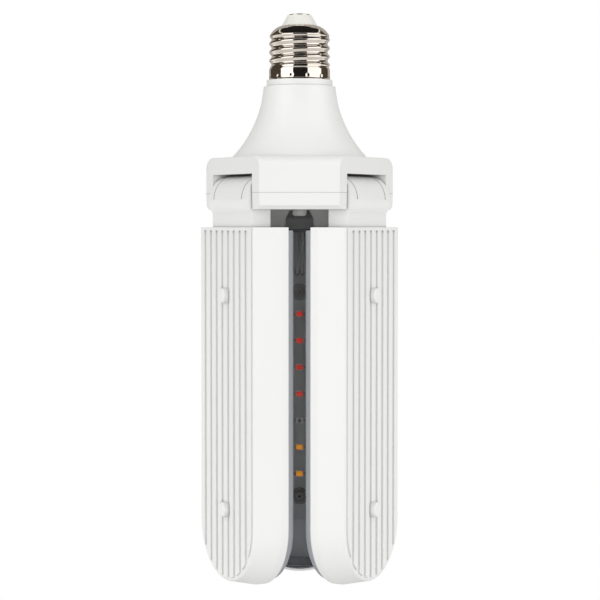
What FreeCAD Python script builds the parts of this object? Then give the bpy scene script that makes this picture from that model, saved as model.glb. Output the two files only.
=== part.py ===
import FreeCAD, Part
import math
import os
import re
import Sketcher

doc = FreeCAD.newDocument("grow_light_bulb")
sheet = doc.addObject("Spreadsheet::Sheet", "Sizes")

# Sizes in mm. Heights (z) run up the lamp from the middle of the cap's plain skirt,
# distances (r) run out from the lamp's axis, and a leaf's width is measured across its middle.
sizes = {
    # Screw cap
    "thread_pitch": 3.62,
    "thread_wave": 0.5,
    "thread_mid_r": 12.62,
    "thread_low": 3.2,
    "thread_high": 16.2,
    "cap_sheet": 0.35,
    "cap_fit": 0.05,
    "skirt_r": 13.15,
    "skirt_low": -2.4,
    "cap_rim_r": 13.7,
    "cap_rim_low": -3.0,
    "dome_side_r": 12.9,
    "dome_top": 20.5,
    "dome_curve_r": 5.6,
    "dome_hole_r": 8.0,
    "dent_count": 12,
    "dent_r": 1.1,
    "dent_depth": 0.25,
    "dent_z": -1.7,
    "glass_top_r": 5.2,
    "glass_low_r": 7.7,
    "glass_top": 24.9,
    "glass_foot": 17.6,
    "contact_r": 4.5,
    "contact_top": 25.7,
    "contact_edge": 0.4,
    "rivet_r": 1.4,
    # Bell of the driver housing
    "collar_r": 14.2,
    "collar_low": -5.7,
    "spigot_r": 11.65,
    "spigot_top": 14.0,
    "spigot_wall": 1.5,
    "bell_top_r": 15.4,
    "bell_waist_r": 16.45,
    "bell_waist_z": -12.6,
    "bell_ledge": 3.6,
    "bell_flare_r": 51.0,
    "housing_wall": 1.8,
    # Three-sided hub under the bell
    "hub_side_r": 33.0,
    "hub_corner_half": 24.0,
    "hub_top": -36.4,
    "hub_parting": -51.7,
    "hub_bottom": -58.7,
    "hub_edge_r": 0.5,
    "hub_corner_edge_r": 5.0,
    "cover_taper": 1.5,
    "cover_chamfer": 1.7,
    "core_pocket_r": 11.4,
    "cover_floor": 2.0,
    "centre_boss_r": 3.0,
    "centre_boss_drop": 2.7,
    "centre_boss_edge": 1.2,
    "window_half": 4.0,
    "window_height": 4.0,
    # Screws that hold the hub cover
    "cover_screw_r": 29.0,
    "cover_boss_r": 3.5,
    "screw_shank_r": 1.4,
    "screw_head_r": 2.75,
    "screw_head_height": 2.0,
    "screw_head_bevel": 0.6,
    "screw_point": 1.0,
    "screw_reach": 12.0,
    "screw_fit": 0.03,
    "counterbore_r": 3.1,
    "counterbore_depth": 2.5,
    # Hinges
    "hinge_r": 25.0,
    "hinge_z": -54.4,
    "knuckle_r": 10.25,
    "knuckle_gap": 0.45,
    "knuckle_half": 17.0,
    "slot_half": 17.5,
    "pin_r": 2.0,
    "pin_half": 21.5,
    "pin_fit": 0.03,
    "pin_boss_r": 4.2,
    "slit_v": 12.5,
    "slit_width": 0.6,
    "slit_depth": 0.6,
    "keeper_half": 1.9,
    "arm_inner_r": 23.9,
    "arm_step": 1.85,
    "wire_slot_half": 4.0,
    "wire_slot_depth": 4.6,
    # Leaf tray
    "leaf_top": -66.2,
    "leaf_rim_r": 20.5,
    "leaf_lip_r": 23.7,
    "leaf_back_r": 35.65,
    "leaf_half": 26.35,
    "leaf_back_half": 23.75,
    "leaf_end_z": -192.95,
    "leaf_wall": 1.8,
    "lip_wall": 1.3,
    "leaf_edge_r": 0.8,
    "rib_height": 0.75,
    "rib_width": 3.0,
    "rib_pitch": 5.18,
    "rib_count": 9,
    "rib_border": 1.4,
    "bump_r": 3.2,
    "bump_height": 3.1,
    "bump_edge": 0.7,
    # Clear cover
    "cover_face_r": 17.0,
    "cover_wall": 1.2,
    "cover_fit": 0.05,
    "cover_edge_r": 1.0,
    "hook_depth": 0.6,
    "hook_reach": 3.0,
    "hook_high": -97.2,
    "hook_high_length": 7.5,
    "hook_low": -180.1,
    "hook_low_length": 12.5,
    # Light board
    "board_face_r": 25.2,
    "board_thick": 1.6,
    "board_half": 20.0,
    "board_high": -83.8,
    "board_low": -196.9,
    "board_corner_r": 3.0,
    "board_screw_high": -95.1,
    "board_screw_low": -186.2,
    "post_r": 3.2,
    "washer_r": 3.6,
    "washer_thick": 0.6,
    "leaf_screw_reach": 7.0,
    "pan_edge_in": 0.9,
    "pan_edge_height": 0.8,
    "cross_width": 0.7,
    "cross_half": 1.5,
    "cross_depth": 1.1,
    # Lamps on the board
    "led_width": 3.5,
    "led_height": 2.8,
    "led_thick": 0.8,
    "led_window_width": 2.9,
    "led_window_height": 2.2,
    "led_window_depth": 0.2,
    "led_row_pitch": 11.9,
    "led_column_pitch": 8.6,
    "led_first_row": -92.9,
    # Wire boot and wires
    "boot_half": 6.0,
    "boot_top_half": 4.25,
    "boot_face_r": 19.2,
    "boot_top": -58.9,
    "boot_shoulder": -62.3,
    "boot_low": -67.4,
    "boot_edge_r": 0.6,
    "boot_slope": 1.0,
    "wire_r": 0.7,
    "wire_gap": 1.1,
    "wire_bend_r": 3.0,
    "feed_r": 9.0,
    "feed_turn_z": -49.6,
    "leaf_lead_slope": 4.0,
    "leaf_lead_landing": 1.0,
    "leaf_lead_tail": 3.0,
    "live_lead_x": 2.0,
    "live_bow_r": 90.0,
    "lead_end_gap": 0.25,
    "neutral_lead_y": 4.0,
    "neutral_bow_r": 150.0,
    "lead_rise": 1.0,
    "lead_turn_r": 0.8,
    "lead_end_r": 11.9,
    # Driver
    "driver_board_r": 24.0,
    "driver_board_thick": 1.6,
    "capacitor_r": 5.0,
    "capacitor_height": 18.0,
    "capacitor_x": -9.5,
    "capacitor_y": 5.5,
    "choke_r": 4.0,
    "choke_height": 9.0,
    "choke_x": -11.0,
    "choke_y": -8.0,
    "core_width": 13.0,
    "core_depth": 7.0,
    "core_plate": 2.0,
    "core_leg": 1.3,
    "coil_r": 4.9,
    "transformer_height": 12.0,
    "transformer_x": 8.8,
    "transformer_y": 5.5,
    "film_width": 13.0,
    "film_depth": 6.0,
    "film_height": 11.0,
    "film_x": 1.0,
    "film_y": -11.0,
    "film_edge_r": 0.8,
    # How far a cut runs past the face it starts or ends on
    "cut_over": 1.0,
}

# Sizes that follow from those above
followed = {
    "bell_base_r": "hub_side_r - bell_ledge",
    "arm_outer_r": "hinge_r + knuckle_r - arm_step",
    "housing_cap_r": "skirt_r - cap_sheet - cap_fit",
    "slot_inner_r": "hinge_r - knuckle_r - knuckle_gap",
    "slot_ceiling": "hinge_z + knuckle_r + knuckle_gap",
    "slot_box_top": "slot_ceiling + housing_wall",
    "hub_inner_top": "hub_top - housing_wall",
    "hub_corner_r": "hub_side_r * cos(60) + hub_corner_half * sin(60)",
    "hub_inner_r": "hub_side_r - housing_wall",
    "hub_inner_corner_r": "hub_corner_r - housing_wall",
    "hub_inner_half": "(hub_inner_corner_r - hub_inner_r * cos(60)) / sin(60)",
    "board_top": "slot_box_top + driver_board_thick",
    "screw_seat": "hub_bottom + counterbore_depth",
    "pin_seat_r": "pin_r + pin_fit",
    "rib_half": "((rib_count - 1) * rib_pitch + rib_width) / 2",
    "floor_r": "leaf_back_r - leaf_wall",
    "lean": "(leaf_half - leaf_back_half) / (leaf_back_r - leaf_lip_r)",
    "hollow_half": "leaf_half - leaf_wall",
    "floor_half": "hollow_half - lean * (floor_r - leaf_lip_r)",
    "recess_half": "leaf_half - lip_wall",
    "cover_half": "recess_half - cover_fit",
    "cover_top": "leaf_top - lip_wall - cover_fit",
    "board_back_r": "board_face_r + board_thick",
    "led_face_r": "board_face_r - led_thick",
    "wire_low_r": "arm_inner_r + wire_slot_depth / 2",
    "lead_wall_r": "spigot_r - spigot_wall - wire_r",
    "pan_top_r": "board_face_r - washer_thick - screw_head_height",
}

rowNumber = 0
for name, value in sizes.items():
    rowNumber += 1
    sheet.set(f"A{rowNumber}", name)
    sheet.set(f"B{rowNumber}", str(value))
    sheet.setAlias(f"B{rowNumber}", name)
for name, formula in followed.items():
    rowNumber += 1
    sheet.set(f"A{rowNumber}", name)
    sheet.set(f"B{rowNumber}", "=" + formula)
    sheet.setAlias(f"B{rowNumber}", name)
doc.recompute()

knownNames = set(sizes) | set(followed)
parts = []


# Expressions: a text of size names becomes one that points at the sheet

def bound(text):
    return re.sub(
        r"[a-z_][a-z_0-9]*",
        lambda found: "Sizes." + found.group() if found.group() in knownNames else found.group(),
        text,
    )


def bind(item, prop, text):
    item.setExpression(prop, bound(text))


# Bodies and sketches

def newBody(name):
    body = doc.addObject("PartDesign::Body", name)
    body.Label = name
    return body


def originItem(body, role):
    return next(item for item in body.Origin.OriginFeatures if item.Role == role)


def newSketch(body, plane, height="0", shiftX="0", shiftY="0"):
    sketch = body.newObject("Sketcher::SketchObject", body.Name + "_sketch")
    sketch.AttachmentSupport = [(originItem(body, plane), "")]
    sketch.MapMode = "FlatFace"
    bind(sketch, "AttachmentOffset.Base.x", shiftX)
    bind(sketch, "AttachmentOffset.Base.y", shiftY)
    bind(sketch, "AttachmentOffset.Base.z", height)
    return sketch


def holdPoint(sketch, item, end, axis, text):
    if abs(sketch.evalExpression(bound(text))) < 1e-9:
        sketch.addConstraint(Sketcher.Constraint("PointOnObject", item, end, -2 if axis == "X" else -1))
        return
    value = sketch.evalExpression(bound(text))
    place = sketch.addConstraint(Sketcher.Constraint("Distance" + axis, -1, 1, item, end, value))
    bind(sketch, f"Constraints[{place}]", text)


# An outline goes from corner to corner. A corner is (x, y) where a straight edge starts,
# and (x, y, radius, turn) where an arc starts, with turn 1 counterclockwise and -1 clockwise.
# A half circle gives the height of its centre in place of its radius.
def outline(sketch, corners, closed=True):
    ends = []
    count = len(corners)
    spot = [
        FreeCAD.Vector(
            sketch.evalExpression(bound(corner[0])), sketch.evalExpression(bound(corner[1])), 0
        )
        for corner in corners
    ]
    for index in range(count if closed else count - 1):
        first = spot[index]
        last = spot[(index + 1) % count]
        corner = corners[index]
        if len(corner) == 2:
            item = sketch.addGeometry(Part.LineSegment(first, last), False)
            ends.append((item, 1, 2))
            continue
        given = sketch.evalExpression(bound(corner[2]))
        turn = corner[3]
        half = (last - first) * 0.5
        if corner[-1] == "centre":
            centre = FreeCAD.Vector(first.x + half.x, given, 0)
            radius = (first - centre).Length
        else:
            radius = given
            rise = math.sqrt(radius**2 - half.Length**2)
            side = FreeCAD.Vector(-half.y, half.x, 0).normalize() * rise * turn
            centre = first + half + side
        start, finish = (first, last) if turn == 1 else (last, first)
        circle = Part.Circle(centre, FreeCAD.Vector(0, 0, 1), radius)
        startAngle = math.atan2(start.y - centre.y, start.x - centre.x)
        finishAngle = math.atan2(finish.y - centre.y, finish.x - centre.x)
        item = sketch.addGeometry(Part.ArcOfCircle(circle, startAngle, finishAngle), False)
        ends.append((item, 1, 2) if turn == 1 else (item, 2, 1))
    for index, (item, begin, finish) in enumerate(ends):
        corner = corners[index]
        if closed or index + 1 < len(ends):
            after = ends[(index + 1) % len(ends)]
            sketch.addConstraint(Sketcher.Constraint("Coincident", item, finish, after[0], after[1]))
        holdPoint(sketch, item, begin, "X", corner[0])
        holdPoint(sketch, item, begin, "Y", corner[1])
        if corner[-1] == "centre":
            holdPoint(sketch, item, 3, "Y", corner[2])
        elif len(corner) > 2:
            given = sketch.evalExpression(bound(corner[2]))
            place = sketch.addConstraint(Sketcher.Constraint("Radius", item, given))
            bind(sketch, f"Constraints[{place}]", corner[2])
    if not closed:
        holdPoint(sketch, ends[-1][0], ends[-1][2], "X", corners[-1][0])
        holdPoint(sketch, ends[-1][0], ends[-1][2], "Y", corners[-1][1])


def rectangle(sketch, left, right, low, high):
    outline(sketch, [(left, low), (right, low), (right, high), (left, high)])


def circle(sketch, x, y, radius):
    centre = FreeCAD.Vector(sketch.evalExpression(bound(x)), sketch.evalExpression(bound(y)), 0)
    given = sketch.evalExpression(bound(radius))
    item = sketch.addGeometry(Part.Circle(centre, FreeCAD.Vector(0, 0, 1), given), False)
    holdPoint(sketch, item, 3, "X", x)
    holdPoint(sketch, item, 3, "Y", y)
    place = sketch.addConstraint(Sketcher.Constraint("Radius", item, given))
    bind(sketch, f"Constraints[{place}]", radius)


# Features. A pad grows along its sketch's normal and a pocket cuts against it,
# unless turned the other way.

def extrude(body, kind, sketch, length, turned=False, symmetric=False, taper=None):
    feature = body.newObject("PartDesign::" + kind, body.Name + "_" + kind.lower())
    feature.Profile = sketch
    bind(feature, "Length", length)
    feature.Reversed = turned
    if symmetric:
        feature.SideType = "Symmetric"
    if taper:
        bind(feature, "TaperAngle", taper)
    body.Tip = feature
    return feature


def revolve(body, kind, sketch, axis="V_Axis"):
    feature = body.newObject("PartDesign::" + kind, body.Name + "_" + kind.lower())
    feature.Profile = sketch
    feature.ReferenceAxis = (sketch, [axis])
    feature.Angle = 360
    body.Tip = feature
    return feature


def loft(body, kind, first, last):
    feature = body.newObject("PartDesign::" + kind, body.Name + "_" + kind.lower())
    feature.Profile = first
    feature.Sections = [last]
    feature.Ruled = True
    body.Tip = feature
    return feature


def pipe(body, spine, section):
    feature = body.newObject("PartDesign::AdditivePipe", body.Name + "_pipe")
    feature.Profile = section
    feature.Spine = spine
    body.Tip = feature
    return feature


def polar(body, originals, count="3"):
    feature = body.newObject("PartDesign::PolarPattern", body.Name + "_polar")
    feature.Originals = originals
    feature.Axis = (originItem(body, "Z_Axis"), [""])
    feature.Angle = 360
    bind(feature, "Occurrences", count)
    body.Tip = feature
    return feature


def linear(body, originals, role, length, count, turned=False):
    feature = body.newObject("PartDesign::LinearPattern", body.Name + "_linear")
    feature.Originals = originals
    feature.Direction = (originItem(body, role), [""])
    feature.Reversed = turned
    bind(feature, "Length", length)
    bind(feature, "Occurrences", count)
    body.Tip = feature
    return feature


def edgesWhere(feature, wanted):
    doc.recompute()
    return [
        f"Edge{index + 1}"
        for index, edge in enumerate(feature.Shape.Edges)
        if wanted(edge)
    ]


def dress(body, kind, wanted, prop, size):
    base = body.Tip
    edges = edgesWhere(base, wanted)
    feature = body.newObject("PartDesign::" + kind, body.Name + "_" + kind.lower())
    feature.Base = (base, edges)
    bind(feature, prop, size)
    body.Tip = feature
    return feature


# The value that a size has now
def number(name):
    return float(sheet.get(name))


# Hub outline: three sides with their corners cut off
def hubOutline(sketch, side, half):
    corners = []
    for angle in (0, -120, -240):
        for sign in ("-", "+"):
            corners.append((
                f"({sign}{half}) * cos({angle}) - {side} * sin({angle})",
                f"({sign}{half}) * sin({angle}) + {side} * cos({angle})",
            ))
    outline(sketch, corners)


def middle(edge):
    return edge.valueAt((edge.FirstParameter + edge.LastParameter) / 2)


def level(edge, height):
    flat = all(abs(vertex.Z - height) < 0.01 for vertex in edge.Vertexes)
    return flat and abs(middle(edge).z - height) < 0.01


def upright(edge):
    first, last = edge.Vertexes[0].Point, edge.Vertexes[-1].Point
    return edge.Length > 3 and abs(last.z - first.z) > 0.95 * edge.Length


# How far a point lies along the nearest of three directions, the first at the angle given
def reach(point, angle):
    turns = [math.radians(angle + 120 * turn) for turn in range(3)]
    return max(point.x * math.cos(turn) + point.y * math.sin(turn) for turn in turns)


# Part primitives for what is a plain cylinder, box or ball

def primitive(kind, name, **sizesOf):
    item = doc.addObject("Part::" + kind, name)
    for prop, text in sizesOf.items():
        bind(item, prop.replace("_", "."), text)
    return item


def place(item, x="0", y="0", z="0"):
    bind(item, "Placement.Base.x", x)
    bind(item, "Placement.Base.y", y)
    bind(item, "Placement.Base.z", z)
    return item


def join(name, items):
    whole = doc.addObject("Part::MultiFuse", name)
    whole.Shapes = items
    return whole


def cut(name, base, tool):
    whole = doc.addObject("Part::Cut", name)
    whole.Base = base
    whole.Tool = tool
    return whole


def gather(name, items):
    whole = doc.addObject("Part::Compound", name)
    whole.Links = items
    return whole


def finished(item, label):
    item.Label = label
    parts.append(item)


# Screw cap. Its rolled thread is a loft through circles whose centres run round the axis
# once for each pitch, and the wave fades out at both ends.

def threadLoft(name, inset):
    stepsPerTurn = 8
    fadeShare = 1 / 8
    turns = (number("thread_high") - number("thread_low")) / number("thread_pitch")
    count = round(turns * stepsPerTurn)
    sections = []
    for step in range(count + 1):
        share = step / count
        fade = min(1, share / fadeShare, (1 - share) / fadeShare)
        swell = max(0, 1 - (1 - share) / fadeShare)
        angle = 360 * step / stepsPerTurn
        item = primitive(
            "Circle",
            name + "_section",
            Radius=f"thread_mid_r - {inset} + {swell} * (dome_side_r - thread_mid_r)",
        )
        place(
            item,
            f"{fade} * thread_wave * cos({angle})",
            f"{fade} * thread_wave * sin({angle})",
            f"thread_low + {share} * (thread_high - thread_low)",
        )
        sections.append(item)
    whole = doc.addObject("Part::Loft", name)
    whole.Sections = sections
    whole.Solid = True
    whole.Ruled = False
    return whole


skirt = newBody("cap_skirt")
sketch = newSketch(skirt, "XZ_Plane")
outline(sketch, [
    ("cap_rim_r - cap_sheet", "cap_rim_low"),
    ("cap_rim_r", "cap_rim_low"),
    ("skirt_r", "skirt_low"),
    ("skirt_r", "thread_low - cap_sheet"),
    ("thread_mid_r", "thread_low"),
    ("thread_mid_r - cap_sheet", "thread_low"),
    ("skirt_r - cap_sheet", "thread_low - 2 * cap_sheet"),
    ("skirt_r - cap_sheet", "skirt_low"),
])
revolve(skirt, "Revolution", sketch)

dome = newBody("cap_dome")
sketch = newSketch(dome, "XZ_Plane")
outline(sketch, [
    ("dome_side_r - cap_sheet", "thread_high"),
    ("dome_side_r", "thread_high", "dome_curve_r", 1),
    ("dome_hole_r", "dome_top"),
    ("dome_hole_r", "dome_top - cap_sheet", "dome_curve_r - cap_sheet", -1),
])
revolve(dome, "Revolution", sketch)

dents = []
for step in range(sizes["dent_count"]):
    angle = f"{step} * 360 / dent_count"
    ball = primitive("Sphere", "dent", Radius="dent_r")
    away = "(skirt_r + dent_r - dent_depth)"
    dents.append(place(ball, f"{away} * cos({angle})", f"{away} * sin({angle})", "dent_z"))

thread = cut("cap_thread", threadLoft("thread_outside", "0"), threadLoft("thread_inside", "cap_sheet"))
shell = cut("screw_shell", join("shell_whole", [skirt, thread, dome]), gather("dents", dents))
finished(shell, "screw_shell")

glass = newBody("cap_insulator")
sketch = newSketch(glass, "XZ_Plane")
outline(sketch, [
    ("rivet_r", "glass_foot"),
    ("glass_low_r", "glass_foot"),
    ("glass_low_r", "dome_top"),
    ("glass_top_r", "glass_top"),
    ("rivet_r", "glass_top"),
])
revolve(glass, "Revolution", sketch)
finished(glass, "cap_insulator")

contact = newBody("centre_contact")
sketch = newSketch(contact, "XZ_Plane")
outline(sketch, [
    ("0", "glass_foot"),
    ("rivet_r", "glass_foot"),
    ("rivet_r", "glass_top"),
    ("contact_r", "glass_top"),
    ("contact_r", "glass_top + contact_edge"),
    ("contact_r - 3 * contact_edge", "contact_top"),
    ("0", "contact_top"),
])
revolve(contact, "Revolution", sketch)
finished(contact, "centre_contact")

# Driver housing: bell, collar and spigot are spun onto the three-sided hub. The hub's room
# is cleared before the hinge boxes and screw bosses are put back into it.

housing = newBody("driver_housing")
sketch = newSketch(housing, "XY_Plane", "hub_parting")
hubOutline(sketch, "hub_side_r", "hub_corner_half")
extrude(housing, "Pad", sketch, "hub_top - hub_parting")
cornerAt = number("hub_corner_r")
dress(
    housing,
    "Fillet",
    lambda edge: level(edge, number("hub_top")) and reach(middle(edge), -90) > cornerAt - 0.1,
    "Radius",
    "hub_corner_edge_r",
)
dress(housing, "Fillet", upright, "Radius", "hub_edge_r")
sketch = newSketch(housing, "XZ_Plane")
outline(sketch, [
    ("0", "hub_inner_top"),
    ("bell_base_r", "hub_inner_top"),
    ("bell_base_r", "hub_top", "bell_flare_r", -1),
    ("bell_waist_r", "bell_waist_z"),
    ("bell_top_r", "collar_low"),
    ("collar_r", "collar_low"),
    ("collar_r", "cap_rim_low"),
    ("housing_cap_r", "cap_rim_low"),
    ("housing_cap_r", "thread_low - 3 * cap_sheet"),
    ("spigot_r", "thread_low"),
    ("spigot_r", "spigot_top"),
    ("0", "spigot_top"),
])
revolve(housing, "Revolution", sketch)
sketch = newSketch(housing, "XY_Plane", "hub_parting")
hubOutline(sketch, "hub_inner_r", "hub_inner_half")
extrude(housing, "Pocket", sketch, "hub_inner_top - hub_parting", turned=True)
sketch = newSketch(housing, "XZ_Plane")
outline(sketch, [
    ("0", "hub_inner_top - cut_over"),
    ("bell_base_r - housing_wall", "hub_inner_top - cut_over"),
    ("bell_base_r - housing_wall", "hub_inner_top", "bell_flare_r + housing_wall", -1),
    ("bell_waist_r - housing_wall", "bell_waist_z"),
    ("spigot_r - spigot_wall", "cap_rim_low"),
    ("spigot_r - spigot_wall", "spigot_top"),
    ("0", "spigot_top"),
])
revolve(housing, "Groove", sketch)
sketch = newSketch(housing, "XY_Plane", "hub_parting")
rectangle(
    sketch,
    "-(slot_half + housing_wall)",
    "slot_half + housing_wall",
    "slot_inner_r - housing_wall",
    "hub_side_r - housing_wall / 2",
)
boxes = extrude(housing, "Pad", sketch, "slot_box_top - hub_parting")
sketch = newSketch(housing, "XY_Plane", "hub_parting")
rectangle(
    sketch,
    "-(pin_half - 2 * pin_fit)",
    "pin_half - 2 * pin_fit",
    "hinge_r - keeper_half",
    "hinge_r + keeper_half",
)
keepers = extrude(housing, "Pad", sketch, "hub_parting - hinge_z - pin_r - pin_fit", turned=True)
sketch = newSketch(housing, "XY_Plane", "hub_parting")
circle(sketch, "0", "-cover_screw_r", "cover_boss_r")
bosses = extrude(housing, "Pad", sketch, "hub_inner_top - hub_parting")
polar(housing, [boxes, keepers, bosses])
sketch = newSketch(housing, "XY_Plane", "slot_ceiling")
rectangle(sketch, "-slot_half", "slot_half", "slot_inner_r", "hub_side_r + cut_over")
slots = extrude(housing, "Pocket", sketch, "slot_ceiling - hub_bottom")
sketch = newSketch(housing, "XY_Plane", "hub_parting")
rectangle(
    sketch,
    "-window_half",
    "window_half",
    "slot_inner_r - 2 * housing_wall",
    "slot_inner_r + housing_wall",
)
windows = extrude(housing, "Pocket", sketch, "window_height", turned=True)
sketch = newSketch(housing, "XY_Plane", "hub_parting")
circle(sketch, "0", "-cover_screw_r", "screw_shank_r + screw_fit")
holes = extrude(housing, "Pocket", sketch, "screw_reach", turned=True)
polar(housing, [slots, windows, holes])
finished(housing, "driver_housing")

# Hub cover: closes the hub from below and cradles the hinge pins

cover = newBody("hub_cover")
sketch = newSketch(cover, "XY_Plane", "hub_parting")
hubOutline(sketch, "hub_side_r", "hub_corner_half")
extrude(cover, "Pad", sketch, "hub_parting - hub_bottom", turned=True, taper="-cover_taper")
dress(
    cover,
    "Chamfer",
    lambda edge: level(edge, number("hub_bottom")) and reach(middle(edge), -90) > cornerAt - 0.5,
    "Size",
    "cover_chamfer",
)
dress(cover, "Fillet", upright, "Radius", "hub_edge_r")
sketch = newSketch(cover, "XY_Plane", "hub_bottom")
circle(sketch, "0", "0", "centre_boss_r")
extrude(cover, "Pad", sketch, "centre_boss_drop", turned=True)
dress(
    cover,
    "Fillet",
    lambda edge: level(edge, number("hub_bottom") - number("centre_boss_drop")),
    "Radius",
    "centre_boss_edge",
)
sketch = newSketch(cover, "XY_Plane", "hub_parting")
circle(sketch, "0", "0", "core_pocket_r")
extrude(cover, "Pocket", sketch, "hub_parting - hub_bottom - cover_floor")
sketch = newSketch(cover, "XY_Plane", "hub_parting")
rectangle(sketch, "-slot_half", "slot_half", "slot_inner_r", "hub_side_r + cut_over")
slots = extrude(cover, "Pocket", sketch, "2 * (hub_parting - hub_bottom)")
sketch = newSketch(cover, "YZ_Plane")
outline(sketch, [
    ("hinge_r - pin_seat_r", "hub_parting"),
    ("hinge_r - pin_seat_r", "hinge_z", "hinge_z", 1, "centre"),
    ("hinge_r + pin_seat_r", "hinge_z"),
    ("hinge_r + pin_seat_r", "hub_parting"),
])
cradles = extrude(cover, "Pocket", sketch, "2 * (pin_half + pin_fit)", symmetric=True)
sketch = newSketch(cover, "YZ_Plane", shiftX="-cover_screw_r")
outline(sketch, [
    ("0", "hub_bottom - cut_over"),
    ("counterbore_r", "hub_bottom - cut_over"),
    ("counterbore_r", "screw_seat"),
    ("screw_shank_r + screw_fit", "screw_seat"),
    ("screw_shank_r + screw_fit", "hub_parting + cut_over"),
    ("0", "hub_parting + cut_over"),
])
holes = revolve(cover, "Groove", sketch)
polar(cover, [slots, cradles, holes])
finished(cover, "hub_cover")

screws = newBody("cover_screws")
sketch = newSketch(screws, "YZ_Plane", shiftX="-cover_screw_r")
outline(sketch, [
    ("0", "screw_seat - screw_head_height"),
    ("screw_head_r - screw_head_bevel", "screw_seat - screw_head_height"),
    ("screw_head_r", "screw_seat - screw_head_height + screw_head_bevel"),
    ("screw_head_r", "screw_seat"),
    ("screw_shank_r", "screw_seat"),
    ("screw_shank_r", "hub_parting + screw_reach - 2 * screw_point"),
    ("0", "hub_parting + screw_reach - screw_point"),
])
shank = revolve(screws, "Revolution", sketch)
crosses = []
for width, depth in (("cross_width / 2", "cross_half"), ("cross_half", "cross_width / 2")):
    sketch = newSketch(screws, "XY_Plane", "screw_seat - screw_head_height", shiftY="-cover_screw_r")
    rectangle(sketch, f"-({width})", width, f"-({depth})", depth)
    crosses.append(extrude(screws, "Pocket", sketch, "cross_depth", turned=True))
polar(screws, [shank] + crosses)
finished(screws, "cover_screws")

pins = newBody("hinge_pins")
sketch = newSketch(pins, "YZ_Plane", shiftX="hinge_r", shiftY="hinge_z")
circle(sketch, "0", "0", "pin_r")
rod = extrude(pins, "Pad", sketch, "2 * pin_half", symmetric=True)
polar(pins, [rod])
finished(pins, "hinge_pins")

# Driver

board = primitive("Cylinder", "driver_board", Radius="driver_board_r", Height="driver_board_thick")
place(board, z="slot_box_top")
finished(board, "driver_board")

capacitor = primitive("Cylinder", "bulk_capacitor", Radius="capacitor_r", Height="capacitor_height")
place(capacitor, "capacitor_x", "capacitor_y", "board_top")
finished(capacitor, "bulk_capacitor")

drum = primitive("Cylinder", "choke_drum", Radius="choke_r", Height="choke_height")
place(drum, "choke_x", "choke_y", "board_top")
finished(drum, "choke")

coil = primitive("Cylinder", "coil", Radius="coil_r", Height="transformer_height - 2 * core_plate")
place(coil, "transformer_x", "transformer_y", "board_top + core_plate")
core = [coil]
for low in ("board_top", "board_top + transformer_height - core_plate"):
    plate = primitive("Box", "plate", Length="core_width", Width="core_depth", Height="core_plate")
    core.append(place(plate, "transformer_x - core_width / 2", "transformer_y - core_depth / 2", low))
for left in ("transformer_x - core_width / 2", "transformer_x + core_width / 2 - core_leg"):
    leg = primitive("Box", "leg", Length="core_leg", Width="core_depth", Height="transformer_height")
    core.append(place(leg, left, "transformer_y - core_depth / 2", "board_top"))
finished(join("transformer", core), "transformer")

film = primitive("Box", "film_box", Length="film_width", Width="film_depth", Height="film_height")
place(film, "film_x - film_width / 2", "film_y - film_depth / 2", "board_top")
edged = doc.addObject("Part::Fillet", "film_capacitor")
edged.Base = film
doc.recompute()
filmTop = number("board_top") + number("film_height")
filmEdge = number("film_edge_r")
edged.Edges = [
    (index + 1, filmEdge, filmEdge)
    for index, edge in enumerate(film.Shape.Edges)
    if level(edge, filmTop)
]
finished(edged, "film_capacitor")


# Wires: a round section led along a flat path
def wire(body, plane, corners, startPlane, start):
    spine = newSketch(body, plane)
    outline(spine, corners, closed=False)
    section = newSketch(body, startPlane, start[2])
    circle(section, start[0], start[1], "wire_r")
    return pipe(body, spine, section)


live = newBody("live_lead")
wire(
    live,
    "XZ_Plane",
    [("-live_lead_x", "board_top", "live_bow_r", -1), ("0", "glass_foot - lead_end_gap")],
    "XY_Plane",
    ("-live_lead_x", "0", "board_top"),
)
finished(live, "live_lead")

neutral = newBody("neutral_lead")
wire(
    neutral,
    "YZ_Plane",
    [
        ("-neutral_lead_y", "board_top", "neutral_bow_r", 1),
        ("-lead_wall_r", "spigot_top - lead_rise"),
        ("-lead_wall_r", "spigot_top + lead_rise - lead_turn_r", "lead_turn_r", 1),
        ("-(lead_wall_r + lead_turn_r)", "spigot_top + lead_rise"),
        ("-lead_end_r", "spigot_top + lead_rise"),
    ],
    "XY_Plane",
    ("0", "-neutral_lead_y", "board_top"),
)
finished(neutral, "neutral_lead")

feeds = newBody("leaf_feed_leads")
pair = []
for side in ("wire_gap", "-wire_gap"):
    spine = newSketch(feeds, "YZ_Plane", side)
    outline(spine, [
        ("feed_r", "slot_box_top"),
        ("feed_r", "feed_turn_z + wire_bend_r", "wire_bend_r", 1),
        ("feed_r + wire_bend_r", "feed_turn_z"),
        ("slot_inner_r", "feed_turn_z"),
    ], closed=False)
    section = newSketch(feeds, "XY_Plane", "slot_box_top")
    circle(section, side, "feed_r", "wire_r")
    pair.append(pipe(feeds, spine, section))
polar(feeds, pair)
finished(feeds, "leaf_feed_leads")

# Leaf, drawn once at the back of the lamp and then placed at the left and right


def leafOutline(sketch, half, top):
    outline(sketch, [
        (f"-({half})", top),
        (f"-({half})", "leaf_end_z", "leaf_end_z", 1, "centre"),
        (half, "leaf_end_z"),
        (half, top),
    ])


def leafSketch(body, distance):
    return newSketch(body, "XZ_Plane", f"-({distance})")


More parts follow.
